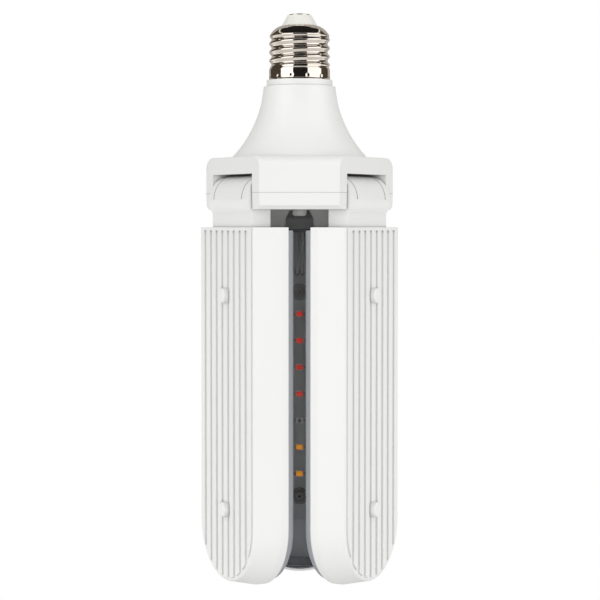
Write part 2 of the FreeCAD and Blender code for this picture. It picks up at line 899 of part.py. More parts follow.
tray = newBody("leaf_housing")
sketch = leafSketch(tray, "leaf_rim_r")
leafOutline(sketch, "leaf_half", "leaf_top")
extrude(tray, "Pad", sketch, "leaf_lip_r - leaf_rim_r", turned=True)
first = leafSketch(tray, "leaf_lip_r")
leafOutline(first, "leaf_half", "leaf_top")
last = leafSketch(tray, "leaf_back_r")
leafOutline(last, "leaf_back_half", "leaf_top")
loft(tray, "AdditiveLoft", first, last)
backAt = number("leaf_back_r")
dress(
    tray,
    "Fillet",
    lambda edge: all(abs(vertex.Y - backAt) < 0.01 for vertex in edge.Vertexes)
    and abs(middle(edge).y - backAt) < 0.01
    and middle(edge).z < number("leaf_top") - number("cut_over"),
    "Radius",
    "leaf_edge_r",
)
sketch = leafSketch(tray, "leaf_back_r")
leafOutline(sketch, "rib_half", "leaf_top")
extrude(tray, "Pad", sketch, "rib_height", turned=True)
sketch = leafSketch(tray, "leaf_back_r")
rectangle(
    sketch,
    "rib_width - rib_half",
    "rib_pitch - rib_half",
    "leaf_end_z - leaf_half",
    "leaf_top - rib_border",
)
groove = extrude(tray, "Pocket", sketch, "2 * rib_height")
linear(tray, [groove], "X_Axis", "(rib_count - 2) * rib_pitch", "rib_count - 1")
for bumpAt in ("board_screw_high", "board_screw_low"):
    sketch = leafSketch(tray, "leaf_back_r")
    circle(sketch, "0", bumpAt, "bump_r")
    extrude(tray, "Pad", sketch, "bump_height", turned=True)
bumpAt = backAt + number("bump_height")
dress(tray, "Fillet", lambda edge: abs(middle(edge).y - bumpAt) < 0.01, "Radius", "bump_edge")
sketch = newSketch(tray, "YZ_Plane")
outline(sketch, [
    ("arm_inner_r", "leaf_top - leaf_wall / 2"),
    ("arm_outer_r", "leaf_top - leaf_wall / 2"),
    (
        "arm_outer_r",
        "hinge_z - sqrt(pow(knuckle_r; 2) - pow(arm_outer_r - hinge_r; 2))",
        "knuckle_r",
        1,
    ),
    ("hinge_r", "hinge_z + knuckle_r", "knuckle_r", 1),
    ("hinge_r - knuckle_r", "hinge_z"),
    ("hinge_r - pin_boss_r", "hinge_z", "pin_boss_r", 1),
    ("arm_inner_r", "hinge_z - sqrt(pow(pin_boss_r; 2) - pow(arm_inner_r - hinge_r; 2))"),
])
extrude(tray, "Pad", sketch, "2 * knuckle_half", symmetric=True)
sketch = leafSketch(tray, "leaf_rim_r")
leafOutline(sketch, "recess_half", "leaf_top - lip_wall")
extrude(tray, "Pocket", sketch, "leaf_lip_r - leaf_rim_r")
first = leafSketch(tray, "leaf_lip_r")
leafOutline(first, "hollow_half", "leaf_top - leaf_wall")
last = leafSketch(tray, "floor_r")
leafOutline(last, "floor_half", "leaf_top - leaf_wall")
loft(tray, "SubtractiveLoft", first, last)
sketch = leafSketch(tray, "board_back_r")
circle(sketch, "0", "board_screw_high", "post_r")
circle(sketch, "0", "board_screw_low", "post_r")
extrude(tray, "Pad", sketch, "leaf_back_r - leaf_wall / 2 - board_back_r", turned=True)
sketch = leafSketch(tray, "board_back_r")
circle(sketch, "0", "board_screw_high", "screw_shank_r + screw_fit")
circle(sketch, "0", "board_screw_low", "screw_shank_r + screw_fit")
extrude(tray, "Pocket", sketch, "leaf_screw_reach + screw_point")
sketch = newSketch(tray, "YZ_Plane")
rectangle(
    sketch,
    "arm_inner_r - cut_over",
    "arm_inner_r + wire_slot_depth",
    "leaf_top - 2 * leaf_wall",
    "boot_top",
)
extrude(tray, "Pocket", sketch, "2 * wire_slot_half", symmetric=True)
sketch = newSketch(tray, "YZ_Plane")
rectangle(
    sketch,
    "hinge_r - knuckle_r - cut_over",
    "hinge_r - pin_boss_r",
    "hinge_z - cut_over",
    "hinge_z + knuckle_r",
)
extrude(tray, "Pocket", sketch, "2 * wire_slot_half", symmetric=True)
sketch = newSketch(tray, "YZ_Plane", shiftX="hinge_r", shiftY="hinge_z")
circle(sketch, "0", "0", "pin_r + pin_fit")
extrude(tray, "Pocket", sketch, "2 * (knuckle_half + cut_over)", symmetric=True)
for low in ("slit_v - slit_width / 2", "-slit_v - slit_width / 2"):
    sketch = newSketch(tray, "YZ_Plane", low, shiftX="hinge_r", shiftY="hinge_z")
    outline(sketch, [
        ("knuckle_r - slit_depth", "0"),
        ("knuckle_r + cut_over", "0", "knuckle_r + cut_over", 1),
        ("0", "knuckle_r + cut_over"),
        ("0", "knuckle_r - slit_depth", "knuckle_r - slit_depth", -1),
    ])
    extrude(tray, "Pocket", sketch, "slit_width", turned=True)
leafPieces = [(tray, "leaf_housing")]

lens = newBody("leaf_cover")
sketch = leafSketch(lens, "cover_face_r")
leafOutline(sketch, "cover_half", "cover_top")
extrude(lens, "Pad", sketch, "leaf_lip_r - cover_face_r", turned=True)
faceAt = number("cover_face_r")
dress(lens, "Fillet", lambda edge: abs(middle(edge).y - faceAt) < 0.01, "Radius", "cover_edge_r")
sketch = leafSketch(lens, "cover_face_r + cover_wall")
leafOutline(sketch, "cover_half - cover_wall", "cover_top - cover_wall")
extrude(lens, "Pocket", sketch, "leaf_lip_r - cover_face_r")
for high, length in (("hook_high", "hook_high_length"), ("hook_low", "hook_low_length")):
    for side in ("1", "-1"):
        sketch = leafSketch(lens, "cover_face_r + hook_reach")
        rectangle(
            sketch,
            f"{side} * (cover_half - cover_wall - hook_depth)",
            f"{side} * (cover_half - cover_wall / 2)",
            f"{high} - {length}",
            high,
        )
        extrude(lens, "Pad", sketch, "leaf_lip_r - cover_face_r - hook_reach", turned=True)
leafPieces.append((lens, "leaf_cover"))

panel = newBody("led_board")
sketch = leafSketch(panel, "board_face_r")
rectangle(sketch, "-board_half", "board_half", "board_low", "board_high")
circle(sketch, "0", "board_screw_high", "screw_shank_r + 3 * screw_fit")
circle(sketch, "0", "board_screw_low", "screw_shank_r + 3 * screw_fit")
extrude(panel, "Pad", sketch, "board_thick", turned=True)
dress(
    panel,
    "Fillet",
    lambda edge: edge.Length < 2 and abs(abs(middle(edge).x) - number("board_half")) < 0.01,
    "Radius",
    "board_corner_r",
)
leafPieces.append((panel, "led_board"))

# Lamps: column, row and colour. The middle column leaves room for the screws.
middleColours = ["red", "red", "red", "red", "clear", "white", "white"]
sideColours = {
    1: ["white", "white", "red", "white", "white", "white", "red", "white", "white"],
    2: ["white", "red", "white", "white", "white", "red", "white", "white", "red"],
}
packages = []
colours = {"red": [], "white": [], "clear": []}
for column in (-2, -1, 0, 1, 2):
    rows = [None] + middleColours + [None] if column == 0 else sideColours[abs(column)]
    for row, colour in enumerate(rows):
        if colour is None:
            continue
        x = f"{column} * led_column_pitch"
        z = f"led_first_row - {row} * led_row_pitch"
        package = primitive("Box", "package", Length="led_width", Width="led_thick", Height="led_height")
        place(package, f"{x} - led_width / 2", "led_face_r", f"{z} - led_height / 2")
        packages.append(package)
        pane = primitive(
            "Box",
            "pane",
            Length="led_window_width",
            Width="led_window_depth",
            Height="led_window_height",
        )
        place(pane, f"{x} - led_window_width / 2", "led_face_r", f"{z} - led_window_height / 2")
        colours[colour].append(pane)
panes = gather("all_panes", [pane for group in colours.values() for pane in group])
leafPieces.append((cut("led_packages", gather("package_boxes", packages), panes), "led_packages"))
for colour, group in colours.items():
    leafPieces.append((gather("led_windows_" + colour, group), "led_windows_" + colour))

fixings = newBody("board_screws")
sketch = newSketch(fixings, "YZ_Plane", shiftY="board_screw_high")
outline(sketch, [
    ("pan_top_r", "0"),
    ("pan_top_r", "screw_head_r - pan_edge_in"),
    ("board_face_r - washer_thick - pan_edge_height", "screw_head_r"),
    ("board_face_r - washer_thick", "screw_head_r"),
    ("board_face_r - washer_thick", "washer_r"),
    ("board_face_r", "washer_r"),
    ("board_face_r", "screw_shank_r"),
    ("board_back_r + leaf_screw_reach - screw_point", "screw_shank_r"),
    ("board_back_r + leaf_screw_reach", "0"),
])
shank = revolve(fixings, "Revolution", sketch, "H_Axis")
crosses = []
for width, height in (("cross_width / 2", "cross_half"), ("cross_half", "cross_width / 2")):
    sketch = newSketch(fixings, "XZ_Plane", "-pan_top_r", shiftY="board_screw_high")
    rectangle(sketch, f"-({width})", width, f"-({height})", height)
    crosses.append(extrude(fixings, "Pocket", sketch, "cross_depth"))
linear(fixings, [shank] + crosses, "Z_Axis", "board_screw_high - board_screw_low", "2", turned=True)
leafPieces.append((fixings, "board_screws"))

boot = newBody("wire_boot")
sketch = newSketch(boot, "YZ_Plane")
outline(sketch, [
    ("arm_inner_r", "leaf_top"),
    ("arm_inner_r", "boot_top"),
    ("arm_inner_r - boot_slope", "boot_top"),
    ("boot_face_r", "boot_shoulder"),
    ("boot_face_r", "boot_low"),
    ("leaf_rim_r", "boot_low"),
    ("leaf_rim_r", "leaf_top"),
])
extrude(boot, "Pad", sketch, "2 * boot_half", symmetric=True)
for side in ("1", "-1"):
    sketch = leafSketch(boot, "boot_face_r - cut_over")
    outline(sketch, [
        (f"{side} * boot_half", "boot_shoulder"),
        (f"{side} * boot_top_half", "boot_top"),
        (f"{side} * boot_top_half", "boot_top + cut_over"),
        (f"{side} * (boot_half + cut_over)", "boot_top + cut_over"),
        (f"{side} * (boot_half + cut_over)", "boot_shoulder"),
    ])
    extrude(boot, "Pocket", sketch, "arm_inner_r - boot_face_r + 2 * cut_over")
bootAt = number("boot_face_r")
dress(
    boot,
    "Fillet",
    lambda edge: all(abs(vertex.Y - bootAt) < 0.01 for vertex in edge.Vertexes),
    "Radius",
    "boot_edge_r",
)
leafPieces.append((boot, "wire_boot"))

leads = newBody("leaf_leads")
for side in ("wire_gap", "-wire_gap"):
    spine = newSketch(leads, "YZ_Plane", side)
    outline(spine, [
        ("wire_low_r", "boot_top - wire_r"),
        ("wire_low_r", "board_high + leaf_lead_slope"),
        ("board_face_r - wire_r", "board_high + leaf_lead_landing"),
        ("board_face_r - wire_r", "board_high - leaf_lead_tail"),
    ], closed=False)
    section = newSketch(leads, "XY_Plane", "boot_top - wire_r")
    circle(section, side, "wire_low_r", "wire_r")
    pipe(leads, spine, section).Transition = "Round corner"
leafPieces.append((leads, "leaf_leads"))

for item, name in leafPieces:
    finished(item, "back_" + name)
    for side, turn in (("left", 120), ("right", 240)):
        copy = gather(f"{side}_{name}", [item])
        copy.Placement = FreeCAD.Placement(
            FreeCAD.Vector(0, 0, 0), FreeCAD.Rotation(FreeCAD.Vector(0, 0, 1), turn)
        )
        finished(copy, f"{side}_{name}")

doc.recompute()

for item in doc.Objects:
    if "Invalid" in item.State or "Error" in item.State:
        raise RuntimeError(f"{item.Name} did not compute")
for item in parts:
    if item.Shape.isNull() or not item.Shape.isValid():
        raise RuntimeError(f"{item.Label} has no valid shape")

os.makedirs("parts", exist_ok=True)
for item in parts:
    item.Shape.exportStep(f"parts/{item.Label}.step")
    print(item.Label, len(item.Shape.Solids), round(item.Shape.Volume, 1))
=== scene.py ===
import math

import bpy
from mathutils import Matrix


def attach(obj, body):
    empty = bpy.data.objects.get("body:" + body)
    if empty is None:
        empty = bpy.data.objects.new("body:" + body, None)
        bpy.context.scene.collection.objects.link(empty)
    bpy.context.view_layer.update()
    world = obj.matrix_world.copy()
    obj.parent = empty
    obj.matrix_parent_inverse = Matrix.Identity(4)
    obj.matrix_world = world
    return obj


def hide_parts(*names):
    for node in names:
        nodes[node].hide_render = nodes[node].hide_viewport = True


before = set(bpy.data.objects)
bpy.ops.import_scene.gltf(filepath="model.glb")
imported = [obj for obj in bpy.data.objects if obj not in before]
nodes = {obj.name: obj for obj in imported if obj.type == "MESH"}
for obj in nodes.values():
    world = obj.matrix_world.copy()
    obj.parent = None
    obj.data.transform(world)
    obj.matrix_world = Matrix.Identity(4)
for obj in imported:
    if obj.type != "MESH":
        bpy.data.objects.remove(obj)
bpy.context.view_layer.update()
scene = bpy.context.scene
mm = 0.001
leafTurns = {"back": 0, "left": 120, "right": 240}  # degrees from the leaf that points straight back
print("stage: frame loaded")


# sRGB hex as a colour picker shows it, to the linear values that a shader takes
def linearColour(code):
    channels = [int(code[place:place + 2], 16) / 255 for place in (1, 3, 5)]
    return tuple(c / 12.92 if c <= 0.04045 else ((c + 0.055) / 1.055) ** 2.4 for c in channels) + (1.0,)


# Adds a node: settings fill its own fields or sockets, links bring in other nodes' sockets. A Mix
# node goes by socket numbers: 0 is its factor, 6 and 7 are its colours, and 2 is the colour it gives.
def addNode(tree, kind, settings=None, links=None):
    node = tree.nodes.new(kind)
    for name, value in (settings or {}).items():
        if isinstance(name, str) and hasattr(node, name):
            setattr(node, name, value)
    for name, value in (settings or {}).items():
        if isinstance(name, int) or not hasattr(node, name):
            node.inputs[name].default_value = value
    for name, source in (links or {}).items():
        tree.links.new(source, node.inputs[name])
    return node


def startMaterial(name, turn=0):
    material = bpy.data.materials.new(name)
    material.use_nodes = True
    tree = material.node_tree
    tree.nodes.clear()
    place = addNode(tree, "ShaderNodeTexCoord").outputs["Object"]
    if turn:
        turned = addNode(
            tree,
            "ShaderNodeMapping",
            {"Rotation": (0, 0, -math.radians(turn))},
            {"Vector": place},
        )
        place = turned.outputs["Vector"]
    return material, tree, place


def endMaterial(material, tree, shader):
    addNode(tree, "ShaderNodeOutputMaterial", {}, {"Surface": shader.outputs[0]})
    return material


def dress(names, material):
    for name in names:
        mesh = nodes[name].data
        mesh.materials.clear()
        mesh.materials.append(material)


def onEachLeaf(name):
    return [f"{side}_{name}" for side in leafTurns]


# white plastic

housingLook = {
    "colour": "#DEDEDD",
    "shade": "#DADAD8",
    # the dark grey of the painted shade in grooves and corners
    "paintedCreviceShade": "#8A8A87",
    "creviceMm": 1.7,
    "patchMm": 45,
    "roughness": 0.36,
    "sparkMm": 0.7,
    "sparkDepthMm": 0.012,
    "openFrom": 0.2,
    "openTo": 0.72,
    "seamMm": -51.7,
    "seamWidthMm": 0.26,
    "seamShade": 0.4,
}


# Polycarbonate, injection moulded in a spark-eroded mould: bright and even, with a soft broad
# highlight and painted shade in the narrow grooves. The spark texture is really 0.05 mm wide and
# is drawn coarser, or it wouldn't show. The hub's line is the joint between its housing and its cover.
def mouldedPolycarbonate(name, look):
    material, tree, place = startMaterial(name)
    patch = addNode(
        tree,
        "ShaderNodeTexNoise",
        {"Scale": 1 / (look["patchMm"] * mm), "Detail": 2.0},
        {"Vector": place},
    )
    spark = addNode(
        tree,
        "ShaderNodeTexNoise",
        {"Scale": 1 / (look["sparkMm"] * mm), "Detail": 4.0, "Roughness": 0.65},
        {"Vector": place},
    )
    tint = addNode(
        tree,
        "ShaderNodeMix",
        {"data_type": "RGBA", 6: linearColour(look["colour"]), 7: linearColour(look["shade"])},
        {0: patch.outputs["Fac"]},
    )
    # painted shade: where this occlusion node finds surfaces close round, the colour goes to the dark grey
    around = addNode(tree, "ShaderNodeAmbientOcclusion", {"samples": 8, "Distance": look["creviceMm"] * mm})
    openness = addNode(
        tree,
        "ShaderNodeMapRange",
        {"From Min": look["openFrom"], "From Max": look["openTo"]},
        {"Value": around.outputs["AO"]},
    )
    height = addNode(tree, "ShaderNodeSeparateXYZ", {}, {0: place}).outputs["Z"]
    fromSeam = addNode(
        tree,
        "ShaderNodeMath",
        {"operation": "SUBTRACT", 1: look["seamMm"] * mm},
        {0: height},
    )
    seamAway = addNode(tree, "ShaderNodeMath", {"operation": "ABSOLUTE"}, {0: fromSeam.outputs[0]})
    seam = addNode(
        tree,
        "ShaderNodeMapRange",
        {
            "From Min": look["seamWidthMm"] * 0.3 * mm,
            "From Max": look["seamWidthMm"] * 0.7 * mm,
            "To Min": look["seamShade"],
        },
        {"Value": seamAway.outputs[0]},
    )
    # the painted groove shade and the dark joint line together set how far the colour goes to grey
    lit = addNode(
        tree,
        "ShaderNodeMath",
        {"operation": "MULTIPLY"},
        {0: openness.outputs["Result"], 1: seam.outputs["Result"]},
    )
    shaded = addNode(
        tree,
        "ShaderNodeMix",
        {"data_type": "RGBA", 6: linearColour(look["paintedCreviceShade"])},
        {0: lit.outputs[0], 7: tint.outputs[2]},
    )
    sheen = addNode(
        tree,
        "ShaderNodeMapRange",
        {
            "From Min": 0.3,
            "From Max": 0.7,
            "To Min": look["roughness"] - 0.03,
            "To Max": look["roughness"] + 0.06,
        },
        {"Value": spark.outputs["Fac"]},
    )
    relief = addNode(
        tree,
        "ShaderNodeBump",
        {"Strength": 0.35, "Distance": look["sparkDepthMm"] * mm},
        {"Height": spark.outputs["Fac"]},
    )
    skin = addNode(
        tree,
        "ShaderNodeBsdfPrincipled",
        {"IOR": 1.58},
        {
            "Base Color": shaded.outputs[2],
            "Roughness": sheen.outputs["Result"],
            "Normal": relief.outputs["Normal"],
        },
    )
    return endMaterial(material, tree, skin)


dress(["driver_housing", "hub_cover"], mouldedPolycarbonate("mouldedPolycarbonateHousing", housingLook))
# a leaf has no such joint, so its line is put above the lamp's top
leafLook = dict(housingLook, colour="#DFDFDE", shade="#DCDCDB", seamMm=100)
dress(onEachLeaf("leaf_housing"), mouldedPolycarbonate("mouldedPolycarbonateLeaf", leafLook))

# screw cap

capLook = {
    "colour": "#F6F0EA",
    "stain": "#D6CABB",
    "roughness": 0.04,
    "rollMarkMm": 0.5,
    "rollMarkDepthMm": 0.004,
    "stainMm": 6,
}


# Brass sheet, rolled to a thread and nickel plated: a warm mirror, with faint marks of the
# rolls running round it and a little dulling where it was handled
def nickelPlate():
    material, tree, place = startMaterial("nickelPlatedSheet")
    along = addNode(
        tree,
        "ShaderNodeMapping",
        {"Scale": (120, 120, 1 / (capLook["rollMarkMm"] * mm))},
        {"Vector": place},
    )
    marks = addNode(
        tree,
        "ShaderNodeTexNoise",
        {"Scale": 1.0, "Detail": 3.0},
        {"Vector": along.outputs["Vector"]},
    )
    handled = addNode(
        tree,
        "ShaderNodeTexNoise",
        {"Scale": 1 / (capLook["stainMm"] * mm), "Detail": 3.0},
        {"Vector": place},
    )
    tint = addNode(
        tree,
        "ShaderNodeMix",
        {"data_type": "RGBA", 6: linearColour(capLook["colour"]), 7: linearColour(capLook["stain"])},
        {0: handled.outputs["Fac"]},
    )
    dulling = addNode(
        tree,
        "ShaderNodeMapRange",
        {
            "From Min": 0.4,
            "From Max": 0.8,
            "To Min": capLook["roughness"],
            "To Max": capLook["roughness"] + 0.12,
        },
        {"Value": handled.outputs["Fac"]},
    )
    relief = addNode(
        tree,
        "ShaderNodeBump",
        {"Strength": 0.3, "Distance": capLook["rollMarkDepthMm"] * mm},
        {"Height": marks.outputs["Fac"]},
    )
    plate = addNode(
        tree,
        "ShaderNodeBsdfPrincipled",
        {"Metallic": 1.0},
        {
            "Base Color": tint.outputs[2],
            "Roughness": dulling.outputs["Result"],
            "Normal": relief.outputs["Normal"],
        },
    )
    return endMaterial(material, tree, plate)


capMetal = nickelPlate()
dress(["screw_shell"], capMetal)


# a finish whose colour wanders between two shades, over a fine relief
def grainedFinish(name, colour, shade, roughness, grainMm, depthMm, metallic=0.0, stretch=(1, 1, 1)):
    material, tree, place = startMaterial(name)
    drawn = addNode(tree, "ShaderNodeMapping", {"Scale": stretch}, {"Vector": place})
    grain = addNode(
        tree,
        "ShaderNodeTexNoise",
        {"Scale": 1 / (grainMm * mm), "Detail": 4.0},
        {"Vector": drawn.outputs["Vector"]},
    )
    tint = addNode(
        tree,
        "ShaderNodeMix",
        {"data_type": "RGBA", 6: linearColour(colour), 7: linearColour(shade)},
        {0: grain.outputs["Fac"]},
    )
    sheen = addNode(
        tree,
        "ShaderNodeMapRange",
        {"From Min": 0.3, "From Max": 0.7, "To Min": roughness, "To Max": roughness + 0.08},
        {"Value": grain.outputs["Fac"]},
    )
    relief = addNode(
        tree,
        "ShaderNodeBump",
        {"Strength": 0.5, "Distance": depthMm * mm},
        {"Height": grain.outputs["Fac"]},
    )
    skin = addNode(
        tree,
        "ShaderNodeBsdfPrincipled",
        {"Metallic": metallic},
        {
            "Base Color": tint.outputs[2],
            "Roughness": sheen.outputs["Result"],
            "Normal": relief.outputs["Normal"],
        },
    )
    return endMaterial(material, tree, skin)


# white glazed insulator, fired: glassy, with a faint wave in the glaze
dress(["cap_insulator"], grainedFinish("glazedInsulator", "#DEDED8", "#D6D5CE", 0.12, 3.0, 0.02))
# tinned contact, pressed: bright but scuffed where it rubs in the holder
dress(
    ["centre_contact"],
    grainedFinish("tinnedContact", "#E6E3DC", "#B9B4AA", 0.08, 0.8, 0.01, metallic=1.0),
)
# zinc-plated steel, turned: grey metal with fine lines
zincSteel = grainedFinish("zincPlatedSteel", "#C2C1BD", "#93928E", 0.28, 0.4, 0.02, metallic=1.0)
dress(["cover_screws", "hinge_pins"] + onEachLeaf("board_screws"), zincSteel)
# grey rubber, moulded: matt and soft-edged
dress(onEachLeaf("wire_boot"), grainedFinish("mouldedRubber", "#848485", "#767678", 0.55, 0.5, 0.03))
# vinyl sheath, extruded: one even colour with half a gloss
dress(["live_lead"], grainedFinish("redSheath", "#B3241B", "#9A1B14", 0.4, 0.6, 0.01))
dress(["neutral_lead"], grainedFinish("blackSheath", "#1C1C1D", "#262627", 0.4, 0.6, 0.01))
dress(
    ["leaf_feed_leads"] + onEachLeaf("leaf_leads"),
    grainedFinish("whiteSheath", "#DDDDDA", "#CFCFCB", 0.4, 0.6, 0.01),
)
# The driver's parts only show with the hub taken apart. Glass laminate, pressed: satin green.
dress(["driver_board"], grainedFinish("glassLaminate", "#2F6E3C", "#265A31", 0.35, 0.7, 0.02))
# vinyl sleeve, shrunk on: dark and glossy
dress(["bulk_capacitor"], grainedFinish("shrinkSleeve", "#171E36", "#11172B", 0.25, 0.9, 0.01))
# ferrite, fired: dull and dark grey
dress(["choke"], grainedFinish("firedFerrite", "#2A2A2D", "#1E1E21", 0.6, 0.4, 0.03))
# polyester tape, wound: glossy, with faint lines round the core
dress(
    ["transformer"],
    grainedFinish("polyesterTape", "#DDB83F", "#C39C2A", 0.3, 0.9, 0.02, stretch=(1, 1, 6)),
)
# epoxy box, cast: smooth with half a gloss
dress(["film_capacitor"], grainedFinish("epoxyBox", "#CB9C2E", "#B58821", 0.3, 0.9, 0.02))

# clear covers

coverLook = {
    "colour": "#F4F7FA",
    "frost": "#DDE0E6",
    "roughness": 0.03,
    "flowMm": 14,
    "flowDepthMm": 0.15,
    "wallFrost": 0.7,
    "faceFrost": 0.0,
}


# Polycarbonate sheet, injection moulded and clear. Its face is polished, with slow flow waves
# that bend what is behind, and its walls carry the mould's draft texture, so they look frosted.
def clearPolycarbonate(side, turn):
    look = coverLook
    material, tree, place = startMaterial(side + "ClearPolycarbonate", turn)
    flow = addNode(
        tree,
        "ShaderNodeTexNoise",
        {"Scale": 1 / (look["flowMm"] * mm), "Detail": 1.0},
        {"Vector": place},
    )
    relief = addNode(
        tree,
        "ShaderNodeBump",
        {"Strength": 0.25, "Distance": look["flowDepthMm"] * mm},
        {"Height": flow.outputs["Fac"]},
    )
    skin = addNode(
        tree,
        "ShaderNodeBsdfPrincipled",
        {
            "Base Color": linearColour(look["colour"]),
            "Roughness": look["roughness"],
            "IOR": 1.58,
            "Transmission Weight": 1.0,
        },
        {"Normal": relief.outputs["Normal"]},
    )
    matt = addNode(
        tree,
        "ShaderNodeBsdfPrincipled",
        {"Base Color": linearColour(look["frost"]), "Roughness": 0.4},
    )
    glow = addNode(tree, "ShaderNodeBsdfTranslucent", {"Color": linearColour(look["frost"])})
    frosted = addNode(tree, "ShaderNodeMixShader", {0: 0.5}, {1: matt.outputs[0], 2: glow.outputs[0]})
    # a wall is where the surface doesn't look along the leaf's own y
    towards = addNode(tree, "ShaderNodeTexCoord").outputs["Normal"]
    inLeaf = addNode(
        tree,
        "ShaderNodeMapping",
        {"Rotation": (0, 0, -math.radians(turn))},
        {"Vector": towards},
    )
    across = addNode(tree, "ShaderNodeSeparateXYZ", {}, {0: inLeaf.outputs["Vector"]})
    facing = addNode(tree, "ShaderNodeMath", {"operation": "ABSOLUTE"}, {0: across.outputs["Y"]})
    wall = addNode(
        tree,
        "ShaderNodeMapRange",
        {
            "interpolation_type": "SMOOTHSTEP",
            "From Min": 0.5,
            "From Max": 0.9,
            "To Min": look["wallFrost"],
            "To Max": look["faceFrost"],
        },
        {"Value": facing.outputs[0]},
    )
    whole = addNode(
        tree,
        "ShaderNodeMixShader",
        {},
        {0: wall.outputs["Result"], 1: skin.outputs[0], 2: frosted.outputs[0]},
    )
    return endMaterial(material, tree, whole)


for side, turn in leafTurns.items():
    dress([f"{side}_leaf_cover"], clearPolycarbonate(side, turn))

# lamp boards, with x across the leaf and z up it as the board's own directions

boardLook = {
    "mask": "#CDCDCB",
    "gap": "#A2A3A3",
    "columnPitchMm": 8.6,
    "rowPitchMm": 11.9,
    "firstRowMm": -92.9,
    "gapMm": 0.45,
    "grainMm": 0.5,
    "chipMm": 0.3,
    "cupMm": 1.5,
}


# Aluminium board under white solder resist, screen printed: satin, with the gaps between the
# copper areas showing as thin sunk lines, one down each side of a column and one across each lamp
def solderResist(side, turn):
    look = boardLook
    material, tree, place = startMaterial(side + "BoardSolderResist", turn)
    axes = addNode(tree, "ShaderNodeSeparateXYZ", {}, {0: place})

    def distanceFromLines(axis, pitch, offset):
        moved = addNode(
            tree,
            "ShaderNodeMath",
            {"operation": "SUBTRACT", 1: offset * mm},
            {0: axes.outputs[axis]},
        )
        folded = addNode(
            tree,
            "ShaderNodeMath",
            {"operation": "PINGPONG", 1: pitch / 2 * mm},
            {0: moved.outputs[0]},
        )
        return folded.outputs[0]

    across = distanceFromLines("X", look["columnPitchMm"], look["columnPitchMm"] / 2)
    along = distanceFromLines("Z", look["rowPitchMm"], look["firstRowMm"])
    nearest = addNode(tree, "ShaderNodeMath", {"operation": "MINIMUM"}, {0: across, 1: along})
    line = addNode(
        tree,
        "ShaderNodeMapRange",
        {
            "interpolation_type": "SMOOTHSTEP",
            "From Min": look["gapMm"] * 0.4 * mm,
            "From Max": look["gapMm"] * 0.9 * mm,
            "To Min": 0.0,
            "To Max": 1.0,
        },
        {"Value": nearest.outputs[0]},
    )
    grain = addNode(
        tree,
        "ShaderNodeTexNoise",
        {"Scale": 1 / (look["grainMm"] * mm), "Detail": 3.0},
        {"Vector": place},
    )
    tint = addNode(
        tree,
        "ShaderNodeMix",
        {"data_type": "RGBA", 6: linearColour(look["gap"]), 7: linearColour(look["mask"])},
        {0: line.outputs["Result"]},
    )
    height = addNode(
        tree,
        "ShaderNodeMath",
        {"operation": "MULTIPLY_ADD", 1: 0.12},
        {0: grain.outputs["Fac"], 2: line.outputs["Result"]},
    )
    relief = addNode(
        tree,
        "ShaderNodeBump",
        {"Strength": 0.6, "Distance": 0.05 * mm},
        {"Height": height.outputs[0]},
    )
    skin = addNode(
        tree,
        "ShaderNodeBsdfPrincipled",
        {"Roughness": 0.38},
        {"Base Color": tint.outputs[2], "Normal": relief.outputs["Normal"]},
    )
    return endMaterial(material, tree, skin)


# Lamp window, cast resin: the colour deepens from the chip in its middle to the cup's wall. A
# faint painted glow, given out in the window's own colour, brightens it though the lamp is off.
def castResin(side, turn, name, colour, edge, roughness, glow):
    look = boardLook
    material, tree, place = startMaterial(f"{side}{name}", turn)
    axes = addNode(tree, "ShaderNodeSeparateXYZ", {}, {0: place})
    fromLamp = addNode(tree, "ShaderNodeCombineXYZ")
    for axis, pitch, first in (("X", "columnPitchMm", 0), ("Z", "rowPitchMm", look["firstRowMm"])):
        moved = addNode(
            tree,
            "ShaderNodeMath",
            {"operation": "SUBTRACT", 1: first * mm},
            {0: axes.outputs[axis]},
        )
        folded = addNode(
            tree,
            "ShaderNodeMath",
            {"operation": "PINGPONG", 1: look[pitch] / 2 * mm},
            {0: moved.outputs[0]},
        )
        tree.links.new(folded.outputs[0], fromLamp.inputs[axis])
    away = addNode(tree, "ShaderNodeVectorMath", {"operation": "LENGTH"}, {0: fromLamp.outputs[0]})
    depth = addNode(
        tree,
        "ShaderNodeMapRange",
        {"From Min": look["chipMm"] * mm, "From Max": look["cupMm"] * mm},
        {"Value": away.outputs["Value"]},
    )
    tint = addNode(
        tree,
        "ShaderNodeMix",
        {"data_type": "RGBA", 6: linearColour(colour), 7: linearColour(edge)},
        {0: depth.outputs["Result"]},
    )
    relief = addNode(
        tree,
        "ShaderNodeBump",
        {"Strength": 0.6, "Distance": 0.2 * mm, "invert": True},
        {"Height": depth.outputs["Result"]},
    )
    # painted glow: the window gives out light in its own colour though the lamp is off
    skin = addNode(
        tree,
        "ShaderNodeBsdfPrincipled",
        {"Roughness": roughness, "Coat Weight": 0.1, "Coat Roughness": 0.08, "Emission Strength": glow},
        {
            "Base Color": tint.outputs[2],
            "Emission Color": tint.outputs[2],
            "Normal": relief.outputs["Normal"],
        },
    )
    return endMaterial(material, tree, skin)


# name, colour over the chip, colour at the cup's wall, roughness and painted glow
windowLooks = {
    "led_windows_red": ("RedCastResin", "#F02A0C", "#E01C04", 0.3, 0.42),
    "led_windows_white": ("PhosphorResin", "#FFB01C", "#FF9810", 0.4, 0.45),
    "led_windows_clear": ("ClearCastResin", "#4A4A46", "#F2F2F0", 0.15, 0.1),
}
for side, turn in leafTurns.items():
    dress([f"{side}_led_board"], solderResist(side, turn))
    for window, windowLook in windowLooks.items():
        dress([f"{side}_{window}"], castResin(side, turn, *windowLook))
# lamp cups, moulded in white heat-proof plastic
dress(onEachLeaf("led_packages"), grainedFinish("mouldedLampCup", "#E9E6DE", "#DCD8CE", 0.35, 0.5, 0.01))
print("stage: materials on the carried-over parts")


# pieces made by geometry nodes

